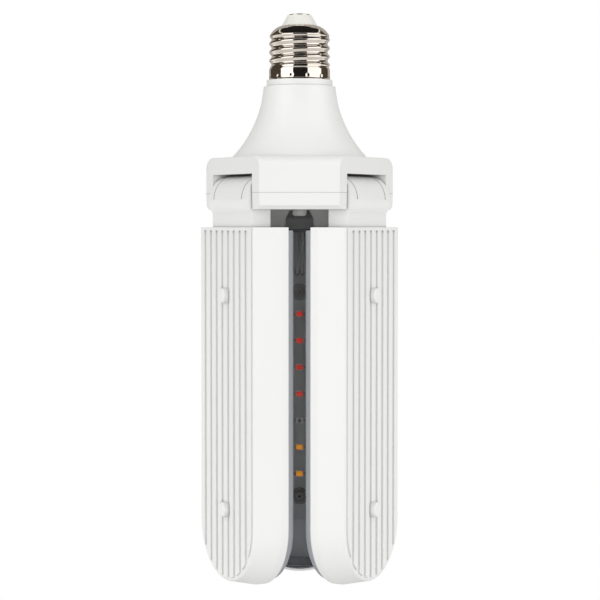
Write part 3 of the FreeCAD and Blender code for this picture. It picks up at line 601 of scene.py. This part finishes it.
def startTree(name, inputs):
    tree = bpy.data.node_groups.new(name, "GeometryNodeTree")
    tree.interface.new_socket(name="Geometry", in_out="OUTPUT", socket_type="NodeSocketGeometry")
    tree.interface.new_socket(name="Geometry", in_out="INPUT", socket_type="NodeSocketGeometry")
    for label, value in inputs.items():
        kind = "NodeSocketInt" if isinstance(value, int) else "NodeSocketFloat"
        tree.interface.new_socket(name=label, in_out="INPUT", socket_type=kind)
    return tree, addNode(tree, "NodeGroupInput").outputs


def endTree(tree, geometry, material):
    whole = addNode(tree, "GeometryNodeRealizeInstances", {}, {"Geometry": geometry})
    finish = addNode(
        tree,
        "GeometryNodeSetMaterial",
        {"Material": material},
        {"Geometry": whole.outputs[0]},
    )
    addNode(tree, "NodeGroupOutput", {}, {"Geometry": finish.outputs[0]})


# puts the tree on a start object, reads the result back as a plain mesh and drops the modifier
def grow(name, startData, tree, inputs, material):
    start = bpy.data.objects.new(name + "Start", startData)
    scene.collection.objects.link(start)
    modifier = start.modifiers.new(name, "NODES")
    modifier.node_group = tree
    for item in tree.interface.items_tree:
        if item.in_out == "INPUT" and item.name in inputs:
            modifier[item.identifier] = inputs[item.name]
    bpy.context.view_layer.update()
    depsgraph = bpy.context.evaluated_depsgraph_get()
    mesh = bpy.data.meshes.new_from_object(start.evaluated_get(depsgraph))
    bpy.data.objects.remove(start)
    mesh.materials.clear()
    mesh.materials.append(material)
    piece = bpy.data.objects.new(name, mesh)
    scene.collection.objects.link(piece)
    return piece


# screw shell: one sheet, rolled to a thread and punched to the collar under it

shell = {
    # radius and height of the sheet's outside, from its rim over the skirt to the thread's top
    "side": [
        (13.7, -3.0),
        (13.4, -2.65),
        (13.15, -2.3),
        (13.15, 1.6),
        (13.03, 2.0),
        (12.72, 2.6),
        (12.62, 3.1),
        (12.62, 14.8),
    ],
    "domeLow": 16.2,
    "domeSideRadius": 12.9,
    "domeTop": 20.5,
    "domeCurveRadius": 8.5,
    "domeHoleRadius": 8.0,
    "domeSteps": 16,
    "sheet": 0.35,
}
shellInputs = {
    "pitch": 3.62,
    "wave": 0.5,
    "threadStart": 2.2,
    "threadEnd": 16.2,
    "fade": 1.5,
    "markCount": 12,
    "markHeight": -1.6,
    "markStray": 0.35,
    "markRadius": 0.85,
    "markDepth": 0.28,
    "skirtRadius": 13.15,
    "skinInner": 0.25,
    "skinOuter": 0.05,
    "around": 256,
    "along": 190,
    "seed": 4,
}


# the sheet's outline from its rim up to the hole and back down inside, in mm
def shellOutline():
    def dome(inset):
        first = (shell["domeSideRadius"] - inset, shell["domeLow"])
        last = (shell["domeHoleRadius"], shell["domeTop"] - inset)
        radius = shell["domeCurveRadius"] - inset
        half = ((last[0] - first[0]) / 2, (last[1] - first[1]) / 2)
        length = math.hypot(*half)
        rise = math.sqrt(radius ** 2 - length ** 2)
        centre = (
            first[0] + half[0] - half[1] / length * rise,
            first[1] + half[1] + half[0] / length * rise,
        )
        begin = math.atan2(first[1] - centre[1], first[0] - centre[0])
        end = math.atan2(last[1] - centre[1], last[0] - centre[0])
        steps = shell["domeSteps"]
        angles = [begin + (end - begin) * step / steps for step in range(steps + 1)]
        return [(centre[0] + radius * math.cos(a), centre[1] + radius * math.sin(a)) for a in angles]

    sheet = shell["sheet"]
    inside = [(radius - sheet, height) for radius, height in reversed(shell["side"])]
    return shell["side"] + dome(0.0) + list(reversed(dome(sheet))) + inside


def shellTree():
    tree, given = startTree("rolledThreadShell", shellInputs)
    grid = addNode(
        tree,
        "GeometryNodeMeshGrid",
        {"Size X": 1.0, "Size Y": 1.0},
        {"Vertices X": given["around"], "Vertices Y": given["along"]},
    )
    position = addNode(tree, "GeometryNodeInputPosition")
    flat = addNode(tree, "ShaderNodeSeparateXYZ", {}, {0: position.outputs[0]})
    turnShare = addNode(tree, "ShaderNodeMath", {"operation": "ADD", 1: 0.5}, {0: flat.outputs["X"]})
    wayShare = addNode(tree, "ShaderNodeMath", {"operation": "ADD", 1: 0.5}, {0: flat.outputs["Y"]})
    outline = addNode(
        tree,
        "GeometryNodeSampleCurve",
        {"mode": "FACTOR", "use_all_curves": True},
        {"Curves": given["Geometry"], "Factor": wayShare.outputs[0]},
    )
    spot = addNode(tree, "ShaderNodeSeparateXYZ", {}, {0: outline.outputs["Position"]})
    radius, height = spot.outputs["X"], spot.outputs["Z"]
    turn = addNode(
        tree,
        "ShaderNodeMath",
        {"operation": "MULTIPLY", 1: math.tau},
        {0: turnShare.outputs[0]},
    )

    # thread: a wave that climbs one pitch a turn and fades out at both ends
    pitches = addNode(tree, "ShaderNodeMath", {"operation": "DIVIDE"}, {0: height, 1: given["pitch"]})
    climbed = addNode(
        tree,
        "ShaderNodeMath",
        {"operation": "MULTIPLY", 1: math.tau},
        {0: pitches.outputs[0]},
    )
    phase = addNode(
        tree,
        "ShaderNodeMath",
        {"operation": "SUBTRACT"},
        {0: climbed.outputs[0], 1: turn.outputs[0]},
    )
    thread = addNode(tree, "ShaderNodeMath", {"operation": "COSINE"}, {0: phase.outputs[0]})
    thread = addNode(
        tree,
        "ShaderNodeMath",
        {"operation": "MULTIPLY"},
        {0: thread.outputs[0], 1: given["wave"]},
    )
    for edge, operation in (("threadStart", "ADD"), ("threadEnd", "SUBTRACT")):
        full = addNode(tree, "ShaderNodeMath", {"operation": operation}, {0: given[edge], 1: given["fade"]})
        share = addNode(
            tree,
            "ShaderNodeMapRange",
            {"interpolation_type": "SMOOTHSTEP"},
            {"Value": height, "From Min": given[edge], "From Max": full.outputs[0]},
        )
        thread = addNode(
            tree,
            "ShaderNodeMath",
            {"operation": "MULTIPLY"},
            {0: thread.outputs[0], 1: share.outputs["Result"]},
        )

    # punch marks: one dimple in each sector of the skirt, at a slightly stray height
    sector = addNode(
        tree,
        "ShaderNodeMath",
        {"operation": "MULTIPLY"},
        {0: turnShare.outputs[0], 1: given["markCount"]},
    )
    sectorNumber = addNode(tree, "ShaderNodeMath", {"operation": "FLOOR"}, {0: sector.outputs[0]})
    lowest = addNode(tree, "ShaderNodeMath", {"operation": "MULTIPLY", 1: -1.0}, {0: given["markStray"]})
    # its sockets go by number: 2 and 3 are the range, 7 is the ID and 8 the seed
    stray = addNode(
        tree,
        "FunctionNodeRandomValue",
        {"data_type": "FLOAT"},
        {2: lowest.outputs[0], 3: given["markStray"], 7: sectorNumber.outputs[0], 8: given["seed"]},
    )
    inSector = addNode(tree, "ShaderNodeMath", {"operation": "FRACT"}, {0: sector.outputs[0]})
    fromMark = addNode(tree, "ShaderNodeMath", {"operation": "SUBTRACT", 1: 0.5}, {0: inSector.outputs[0]})
    girth = addNode(
        tree,
        "ShaderNodeMath",
        {"operation": "MULTIPLY", 1: math.tau},
        {0: given["skirtRadius"]},
    )
    sectorWidth = addNode(
        tree,
        "ShaderNodeMath",
        {"operation": "DIVIDE"},
        {0: girth.outputs[0], 1: given["markCount"]},
    )
    sideways = addNode(
        tree,
        "ShaderNodeMath",
        {"operation": "MULTIPLY"},
        {0: fromMark.outputs[0], 1: sectorWidth.outputs[0]},
    )
    markMiddle = addNode(
        tree,
        "ShaderNodeMath",
        {"operation": "ADD"},
        {0: given["markHeight"], 1: stray.outputs[1]},
    )
    upward = addNode(
        tree,
        "ShaderNodeMath",
        {"operation": "SUBTRACT"},
        {0: height, 1: markMiddle.outputs[0]},
    )
    offset = addNode(tree, "ShaderNodeCombineXYZ", {}, {"X": sideways.outputs[0], "Y": upward.outputs[0]})
    away = addNode(tree, "ShaderNodeVectorMath", {"operation": "LENGTH"}, {0: offset.outputs[0]})
    dimple = addNode(
        tree,
        "ShaderNodeMapRange",
        {"interpolation_type": "SMOOTHSTEP", "From Min": 0.0, "To Min": 1.0, "To Max": 0.0},
        {"Value": away.outputs["Value"], "From Max": given["markRadius"]},
    )
    # only the outside of the sheet at the skirt is punched
    edges = [
        addNode(tree, "ShaderNodeMath", {"operation": "SUBTRACT"}, {0: given["skirtRadius"], 1: given[skin]})
        for skin in ("skinInner", "skinOuter")
    ]
    outer = addNode(
        tree,
        "ShaderNodeMapRange",
        {},
        {"Value": radius, "From Min": edges[0].outputs[0], "From Max": edges[1].outputs[0]},
    )
    depth = addNode(
        tree,
        "ShaderNodeMath",
        {"operation": "MULTIPLY"},
        {0: dimple.outputs["Result"], 1: given["markDepth"]},
    )
    punched = addNode(
        tree,
        "ShaderNodeMath",
        {"operation": "MULTIPLY"},
        {0: depth.outputs[0], 1: outer.outputs["Result"]},
    )

    swelled = addNode(tree, "ShaderNodeMath", {"operation": "ADD"}, {0: radius, 1: thread.outputs[0]})
    reach = addNode(
        tree,
        "ShaderNodeMath",
        {"operation": "SUBTRACT"},
        {0: swelled.outputs[0], 1: punched.outputs[0]},
    )
    place = addNode(tree, "ShaderNodeCombineXYZ", {}, {"Z": height})
    for axis, operation in (("X", "COSINE"), ("Y", "SINE")):
        share = addNode(tree, "ShaderNodeMath", {"operation": operation}, {0: turn.outputs[0]})
        aside = addNode(
            tree,
            "ShaderNodeMath",
            {"operation": "MULTIPLY"},
            {0: reach.outputs[0], 1: share.outputs[0]},
        )
        tree.links.new(aside.outputs[0], place.inputs[axis])
    metres = addNode(
        tree,
        "ShaderNodeVectorMath",
        {"operation": "SCALE", "Scale": mm},
        {0: place.outputs[0]},
    )
    bent = addNode(
        tree,
        "GeometryNodeSetPosition",
        {},
        {"Geometry": grid.outputs["Mesh"], "Position": metres.outputs[0]},
    )
    closed = addNode(
        tree,
        "GeometryNodeMergeByDistance",
        {"Distance": 0.005 * mm},
        {"Geometry": bent.outputs[0]},
    )
    smooth = addNode(tree, "GeometryNodeSetShadeSmooth", {}, {"Geometry": closed.outputs[0]})
    endTree(tree, smooth.outputs[0], capMetal)
    return tree


def rolledShell():
    outline = bpy.data.curves.new("shellOutline", "CURVE")
    outline.dimensions = "3D"
    points = shellOutline()
    spline = outline.splines.new("POLY")
    spline.points.add(len(points) - 1)
    for point, (radius, height) in zip(spline.points, points):
        point.co = (radius, 0, height, 1)
    spline.use_cyclic_u = True
    piece = grow("rolledScrewShell", outline, shellTree(), shellInputs, capMetal)
    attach(piece, "driver_unit")
    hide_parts("screw_shell")


rolledShell()
print("stage: screw shell")

# solder at the lamps' ends and at the leads, one piece a leaf

solderInputs = {
    "columns": 5,
    "rows": 9,
    "columnPitch": 8.6,
    "rowPitch": 11.9,
    "firstRow": -92.9,
    "boardFace": 25.2,
    "lampHalf": 1.75,
    "filletWidth": 0.42,
    "filletHeight": 0.5,
    "filletLength": 1.1,
    "leadSpread": 2.2,
    "leadHeight": -86.3,
    "leadBlob": 1.15,
    "turn": 0.0,
}
# reflowed solder: a bright grey metal with a slightly frosted skin
solderMetal = grainedFinish("reflowedSolder", "#C9CACB", "#A6A7A8", 0.24, 0.6, 0.02, metallic=1.0)


def solderTree():
    tree, given = startTree("lampSolder", solderInputs)
    spans = []
    for count, pitch in (("columns", "columnPitch"), ("rows", "rowPitch")):
        gaps = addNode(tree, "ShaderNodeMath", {"operation": "SUBTRACT", 1: 1.0}, {0: given[count]})
        spans.append(addNode(
            tree,
            "ShaderNodeMath",
            {"operation": "MULTIPLY"},
            {0: gaps.outputs[0], 1: given[pitch]},
        ))
    width, height = (span.outputs[0] for span in spans)
    grid = addNode(
        tree,
        "GeometryNodeMeshGrid",
        {},
        {"Size X": width, "Size Y": height, "Vertices X": given["columns"], "Vertices Y": given["rows"]},
    )
    position = addNode(tree, "GeometryNodeInputPosition")
    flat = addNode(tree, "ShaderNodeSeparateXYZ", {}, {0: position.outputs[0]})

    # the middle column has no lamp in its first and last row, where the board's screws are
    aside = addNode(tree, "ShaderNodeMath", {"operation": "ABSOLUTE"}, {0: flat.outputs["X"]})
    inMiddle = addNode(tree, "ShaderNodeMath", {"operation": "LESS_THAN", 1: 1.0}, {0: aside.outputs[0]})
    away = addNode(tree, "ShaderNodeMath", {"operation": "ABSOLUTE"}, {0: flat.outputs["Y"]})
    nearEnd = addNode(tree, "ShaderNodeMath", {"operation": "MULTIPLY", 1: 0.45}, {0: height})
    atEnd = addNode(
        tree,
        "ShaderNodeMath",
        {"operation": "GREATER_THAN"},
        {0: away.outputs[0], 1: nearEnd.outputs[0]},
    )
    atScrew = addNode(
        tree,
        "ShaderNodeMath",
        {"operation": "MULTIPLY"},
        {0: inMiddle.outputs[0], 1: atEnd.outputs[0]},
    )
    lampSpots = addNode(
        tree,
        "GeometryNodeDeleteGeometry",
        {"domain": "POINT"},
        {"Geometry": grid.outputs["Mesh"], "Selection": atScrew.outputs[0]},
    )
    halfHeight = addNode(tree, "ShaderNodeMath", {"operation": "MULTIPLY", 1: 0.5}, {0: height})
    middleHeight = addNode(
        tree,
        "ShaderNodeMath",
        {"operation": "SUBTRACT"},
        {0: given["firstRow"], 1: halfHeight.outputs[0]},
    )
    lampHeight = addNode(
        tree,
        "ShaderNodeMath",
        {"operation": "ADD"},
        {0: flat.outputs["Y"], 1: middleHeight.outputs[0]},
    )
    stood = addNode(
        tree,
        "ShaderNodeCombineXYZ",
        {},
        {"X": flat.outputs["X"], "Y": given["boardFace"], "Z": lampHeight.outputs[0]},
    )
    lamps = addNode(
        tree,
        "GeometryNodeSetPosition",
        {},
        {"Geometry": lampSpots.outputs[0], "Position": stood.outputs[0]},
    )

    # a fillet at each end of a lamp
    bead = addNode(tree, "GeometryNodeMeshUVSphere", {"Segments": 8, "Rings": 6, "Radius": 1.0})
    filletSize = addNode(
        tree,
        "ShaderNodeCombineXYZ",
        {},
        {"X": given["filletWidth"], "Y": given["filletHeight"], "Z": given["filletLength"]},
    )
    pair = addNode(tree, "GeometryNodeJoinGeometry")
    for sign in (-1.0, 1.0):
        end = addNode(tree, "ShaderNodeMath", {"operation": "MULTIPLY", 1: sign}, {0: given["lampHalf"]})
        shift = addNode(tree, "ShaderNodeCombineXYZ", {}, {"X": end.outputs[0]})
        fillet = addNode(
            tree,
            "GeometryNodeTransform",
            {},
            {
                "Geometry": bead.outputs["Mesh"],
                "Translation": shift.outputs[0],
                "Scale": filletSize.outputs[0],
            },
        )
        tree.links.new(fillet.outputs[0], pair.inputs[0])
    fillets = addNode(
        tree,
        "GeometryNodeInstanceOnPoints",
        {},
        {"Points": lamps.outputs[0], "Instance": pair.outputs[0]},
    )

    # a blob on each of the two leads
    leadAside = addNode(
        tree,
        "ShaderNodeMath",
        {"operation": "MULTIPLY", 1: -0.5},
        {0: given["leadSpread"]},
    )
    leadStart = addNode(
        tree,
        "ShaderNodeCombineXYZ",
        {},
        {"X": leadAside.outputs[0], "Y": given["boardFace"], "Z": given["leadHeight"]},
    )
    leadStep = addNode(tree, "ShaderNodeCombineXYZ", {}, {"X": given["leadSpread"]})
    leadSpots = addNode(
        tree,
        "GeometryNodeMeshLine",
        {"Count": 2},
        {"Start Location": leadStart.outputs[0], "Offset": leadStep.outputs[0]},
    )
    drop = addNode(tree, "GeometryNodeMeshUVSphere", {"Segments": 12, "Rings": 8, "Radius": 1.0})
    blob = addNode(
        tree,
        "GeometryNodeTransform",
        {"Scale": (1.0, 0.9, 1.5)},
        {"Geometry": drop.outputs["Mesh"]},
    )
    blobs = addNode(
        tree,
        "GeometryNodeInstanceOnPoints",
        {},
        {"Points": leadSpots.outputs[0], "Instance": blob.outputs[0], "Scale": given["leadBlob"]},
    )
    both = addNode(tree, "GeometryNodeJoinGeometry")
    for part in (fillets, blobs):
        tree.links.new(part.outputs[0], both.inputs[0])
    whole = addNode(tree, "GeometryNodeRealizeInstances", {}, {"Geometry": both.outputs[0]})
    upright = addNode(tree, "ShaderNodeCombineXYZ", {}, {"Z": given["turn"]})
    turned = addNode(
        tree,
        "GeometryNodeTransform",
        {"Scale": (mm, mm, mm)},
        {"Geometry": whole.outputs[0], "Rotation": upright.outputs[0]},
    )
    smooth = addNode(tree, "GeometryNodeSetShadeSmooth", {}, {"Geometry": turned.outputs[0]})
    endTree(tree, smooth.outputs[0], solderMetal)
    return tree


lampSolder = solderTree()
for side, turn in leafTurns.items():
    empty = bpy.data.meshes.new(side + "SolderStart")
    inputs = dict(solderInputs, turn=math.radians(turn))
    piece = grow(side + "BoardSolder", empty, lampSolder, inputs, solderMetal)
    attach(piece, side + "_leaf")
print("stage: solder")

# washer and cross recess of the two screws on each board

fastenInputs = {
    "firstHeight": -95.1,
    "spacing": 91.1,
    "boardFace": 25.2,
    "washerRadius": 3.75,
    "washerThick": 0.5,
    "headTop": 23.55,
    "recessLength": 2.3,
    "recessWidth": 0.55,
    "recessDepth": 0.06,
    "turn": 0.0,
}
# oiled steel, punched: a dark brown mirror
punchedSteel = grainedFinish("punchedSteel", "#DDCDB6", "#8E7D6A", 0.12, 0.8, 0.02, metallic=1.0)


def fastenTree():
    tree, given = startTree("boardFastening", fastenInputs)
    washer = addNode(
        tree,
        "GeometryNodeMeshCylinder",
        {"Vertices": 40, "Side Segments": 1},
        {"Radius": given["washerRadius"], "Depth": given["washerThick"]},
    )
    halfThick = addNode(
        tree,
        "ShaderNodeMath",
        {"operation": "MULTIPLY_ADD", 1: -0.5},
        {0: given["washerThick"], 2: given["boardFace"]},
    )
    washerPlace = addNode(tree, "ShaderNodeCombineXYZ", {}, {"Y": halfThick.outputs[0]})
    laid = addNode(
        tree,
        "GeometryNodeTransform",
        {"Rotation": (math.pi / 2, 0, 0)},
        {"Geometry": washer.outputs["Mesh"], "Translation": washerPlace.outputs[0]},
    )
    recessPlace = addNode(tree, "ShaderNodeCombineXYZ", {}, {"Y": given["headTop"]})
    cross = addNode(tree, "GeometryNodeJoinGeometry")
    for wide, tall in (("recessLength", "recessWidth"), ("recessWidth", "recessLength")):
        size = addNode(
            tree,
            "ShaderNodeCombineXYZ",
            {},
            {"X": given[wide], "Y": given["recessDepth"], "Z": given[tall]},
        )
        bar = addNode(tree, "GeometryNodeMeshCube", {}, {"Size": size.outputs[0]})
        tree.links.new(bar.outputs["Mesh"], cross.inputs[0])
    sunk = addNode(
        tree,
        "GeometryNodeTransform",
        {"Rotation": (0, math.pi / 4, 0)},
        {"Geometry": cross.outputs[0], "Translation": recessPlace.outputs[0]},
    )
    fastening = addNode(tree, "GeometryNodeJoinGeometry")
    for part in (laid, sunk):
        tree.links.new(part.outputs[0], fastening.inputs[0])
    firstPlace = addNode(tree, "ShaderNodeCombineXYZ", {}, {"Z": given["firstHeight"]})
    down = addNode(tree, "ShaderNodeMath", {"operation": "MULTIPLY", 1: -1.0}, {0: given["spacing"]})
    step = addNode(tree, "ShaderNodeCombineXYZ", {}, {"Z": down.outputs[0]})
    spots = addNode(
        tree,
        "GeometryNodeMeshLine",
        {"Count": 2},
        {"Start Location": firstPlace.outputs[0], "Offset": step.outputs[0]},
    )
    copies = addNode(
        tree,
        "GeometryNodeInstanceOnPoints",
        {},
        {"Points": spots.outputs[0], "Instance": fastening.outputs[0]},
    )
    whole = addNode(tree, "GeometryNodeRealizeInstances", {}, {"Geometry": copies.outputs[0]})
    upright = addNode(tree, "ShaderNodeCombineXYZ", {}, {"Z": given["turn"]})
    turned = addNode(
        tree,
        "GeometryNodeTransform",
        {"Scale": (mm, mm, mm)},
        {"Geometry": whole.outputs[0], "Rotation": upright.outputs[0]},
    )
    endTree(tree, turned.outputs[0], punchedSteel)
    return tree


boardFastening = fastenTree()
for side, turn in leafTurns.items():
    empty = bpy.data.meshes.new(side + "FasteningStart")
    inputs = dict(fastenInputs, turn=math.radians(turn))
    piece = grow(side + "BoardWashers", empty, boardFastening, inputs, punchedSteel)
    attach(piece, side + "_leaf")
print("stage: washers")

# studio: white room, pale floor, two soft boxes, and dark cards that only reflections see

studio = {
    "roomStrength": 1.0,
    "floorHeight": -1.3,
    "floorRadius": 3.2,
    "floorPlainRadius": 1.1,
    "floorSides": 64,
    "paperGrainMm": 2,
    "cardRadius": 0.45,
    "cardSteps": 24,
    "softboxDistance": 1.1,
    "softboxAim": -0.09,
}


def addStage(name, points, faces, material):
    mesh = bpy.data.meshes.new(name)
    mesh.from_pydata(points, [], faces)
    mesh.materials.append(material)
    item = bpy.data.objects.new(name, mesh)
    scene.collection.objects.link(item)
    return item


# Matt paper, calendered: even and pale. Towards its rim it goes over into the white of the room,
# as a sheet that sweeps up behind the lamp does, so that no edge crosses a view.
def calenderedPaper():
    material, tree, place = startMaterial("calenderedPaper")
    grain = addNode(
        tree,
        "ShaderNodeTexNoise",
        {"Scale": 1 / (studio["paperGrainMm"] * mm), "Detail": 4.0},
        {"Vector": place},
    )
    tint = addNode(
        tree,
        "ShaderNodeMix",
        {"data_type": "RGBA", 6: linearColour("#DADAD8"), 7: linearColour("#D5D5D3")},
        {0: grain.outputs["Fac"]},
    )
    sheet = addNode(tree, "ShaderNodeBsdfPrincipled", {"Roughness": 0.8}, {"Base Color": tint.outputs[2]})
    sweep = addNode(tree, "ShaderNodeEmission", {"Color": linearColour("#FFFFFF"), "Strength": 1.0})
    fromMiddle = addNode(
        tree,
        "ShaderNodeVectorMath",
        {"operation": "DISTANCE", 1: (0, 0, studio["floorHeight"])},
        {0: place},
    )
    share = addNode(
        tree,
        "ShaderNodeMapRange",
        {
            "interpolation_type": "SMOOTHSTEP",
            "From Min": studio["floorPlainRadius"],
            "From Max": studio["floorRadius"] * 0.97,
        },
        {"Value": fromMiddle.outputs["Value"]},
    )
    whole = addNode(
        tree,
        "ShaderNodeMixShader",
        {},
        {0: share.outputs["Result"], 1: sheet.outputs[0], 2: sweep.outputs[0]},
    )
    return endMaterial(material, tree, whole)


rim = studio["floorSides"]
floorPoints = [
    (
        studio["floorRadius"] * math.cos(math.tau * step / rim),
        studio["floorRadius"] * math.sin(math.tau * step / rim),
        studio["floorHeight"],
    )
    for step in range(rim)
]
addStage("paleFloor", floorPoints, [tuple(range(rim))], calenderedPaper())

# felt, pressed: quite dull, so that the cap and the covers mirror its tone alone
darkFelt = grainedFinish("darkFelt", "#120F0D", "#171311", 0.9, 1.0, 0.01)
brownFelt = grainedFinish("brownFelt", "#3E362B", "#4A4134", 0.9, 1.0, 0.01)
greyFelt = grainedFinish("greyFelt", "#A9A5A1", "#B4B0AC", 0.9, 1.0, 0.01)


# a card bent round the lamp, between two bearings from the camera's side and two elevations
def addCard(name, bearings, elevations, felt):
    steps = studio["cardSteps"]
    points = []
    for row in range(steps + 1):
        elevation = math.radians(elevations[0] + (elevations[1] - elevations[0]) * row / steps)
        for column in range(steps + 1):
            bearing = math.radians(bearings[0] + (bearings[1] - bearings[0]) * column / steps)
            away = studio["cardRadius"]
            points.append((
                away * math.sin(bearing) * math.cos(elevation),
                -away * math.cos(bearing) * math.cos(elevation),
                away * math.sin(elevation),
            ))
    wide = steps + 1
    faces = [
        (
            row * wide + column,
            row * wide + column + 1,
            (row + 1) * wide + column + 1,
            (row + 1) * wide + column,
        )
        for row in range(steps)
        for column in range(steps)
    ]
    card = addStage(name, points, faces, felt)
    card.visible_camera = False
    card.visible_diffuse = False
    card.visible_shadow = False


addCard("darkCardFront", (-24.6, 30.8), (-42, 40), darkFelt)
addCard("darkCardLeft", (-140, -73.7), (-10, 44), brownFelt)
addCard("darkCardRight", (88.6, 134), (-10, 44), brownFelt)
addCard("darkCardHigh", (-140, 140), (47, 61), darkFelt)
addCard("darkCardAbove", (-180, 180), (60, 89.9), darkFelt)
addCard("greyCardLeft", (-172, -140), (-60, 60), greyFelt)
addCard("greyCardRight", (134, 172), (-60, 60), greyFelt)


def addSoftbox(name, bearing, elevation, size, power):
    light = bpy.data.lights.new(name, "AREA")
    light.shape = "RECTANGLE"
    light.size, light.size_y = size
    light.energy = power
    lamp = bpy.data.objects.new(name, light)
    scene.collection.objects.link(lamp)
    turn, rise = math.radians(bearing), math.radians(elevation)
    away = studio["softboxDistance"]
    lamp.location = (
        away * math.sin(turn) * math.cos(rise),
        -away * math.cos(turn) * math.cos(rise),
        away * math.sin(rise) + studio["softboxAim"],
    )
    lamp.rotation_euler = (math.pi / 2 - rise, 0, turn)
    return lamp


addSoftbox("softboxLeft", -49, 12, (1.0, 1.0), 1.5)
addSoftbox("softboxRight", 60, 12, (1.2, 1.0), 1.5)
frontFill = addSoftbox("softboxFront", 0, -4, (0.2, 0.3), 2.7)
frontFill.visible_glossy = False

world = bpy.data.worlds.new("whiteRoom")
world.use_nodes = True
scene.world = world
room = world.node_tree.nodes["Background"]
room.inputs["Color"].default_value = linearColour("#FFFFFF")
room.inputs["Strength"].default_value = studio["roomStrength"]

# camera, as the photograph was taken: level with the leaves' upper part, tipped a little down

shot = {
    "distance": 0.880,
    "height": -0.0643,
    "sideways": 0.0002,
    "sensor": 36,
    "lens": 121.98,
    "tippedDown": 2.175,
}

cameraData = bpy.data.cameras.new("photographCamera")
cameraData.sensor_width = shot["sensor"]
cameraData.lens = shot["lens"]
cameraData.clip_start = 0.01
camera = bpy.data.objects.new("photographCamera", cameraData)
scene.collection.objects.link(camera)
camera.location = (shot["sideways"], -shot["distance"], shot["height"])
camera.rotation_euler = (math.radians(90 - shot["tippedDown"]), 0, 0)
scene.camera = camera
scene.view_settings.view_transform = "Standard"
print("stage: studio and camera")
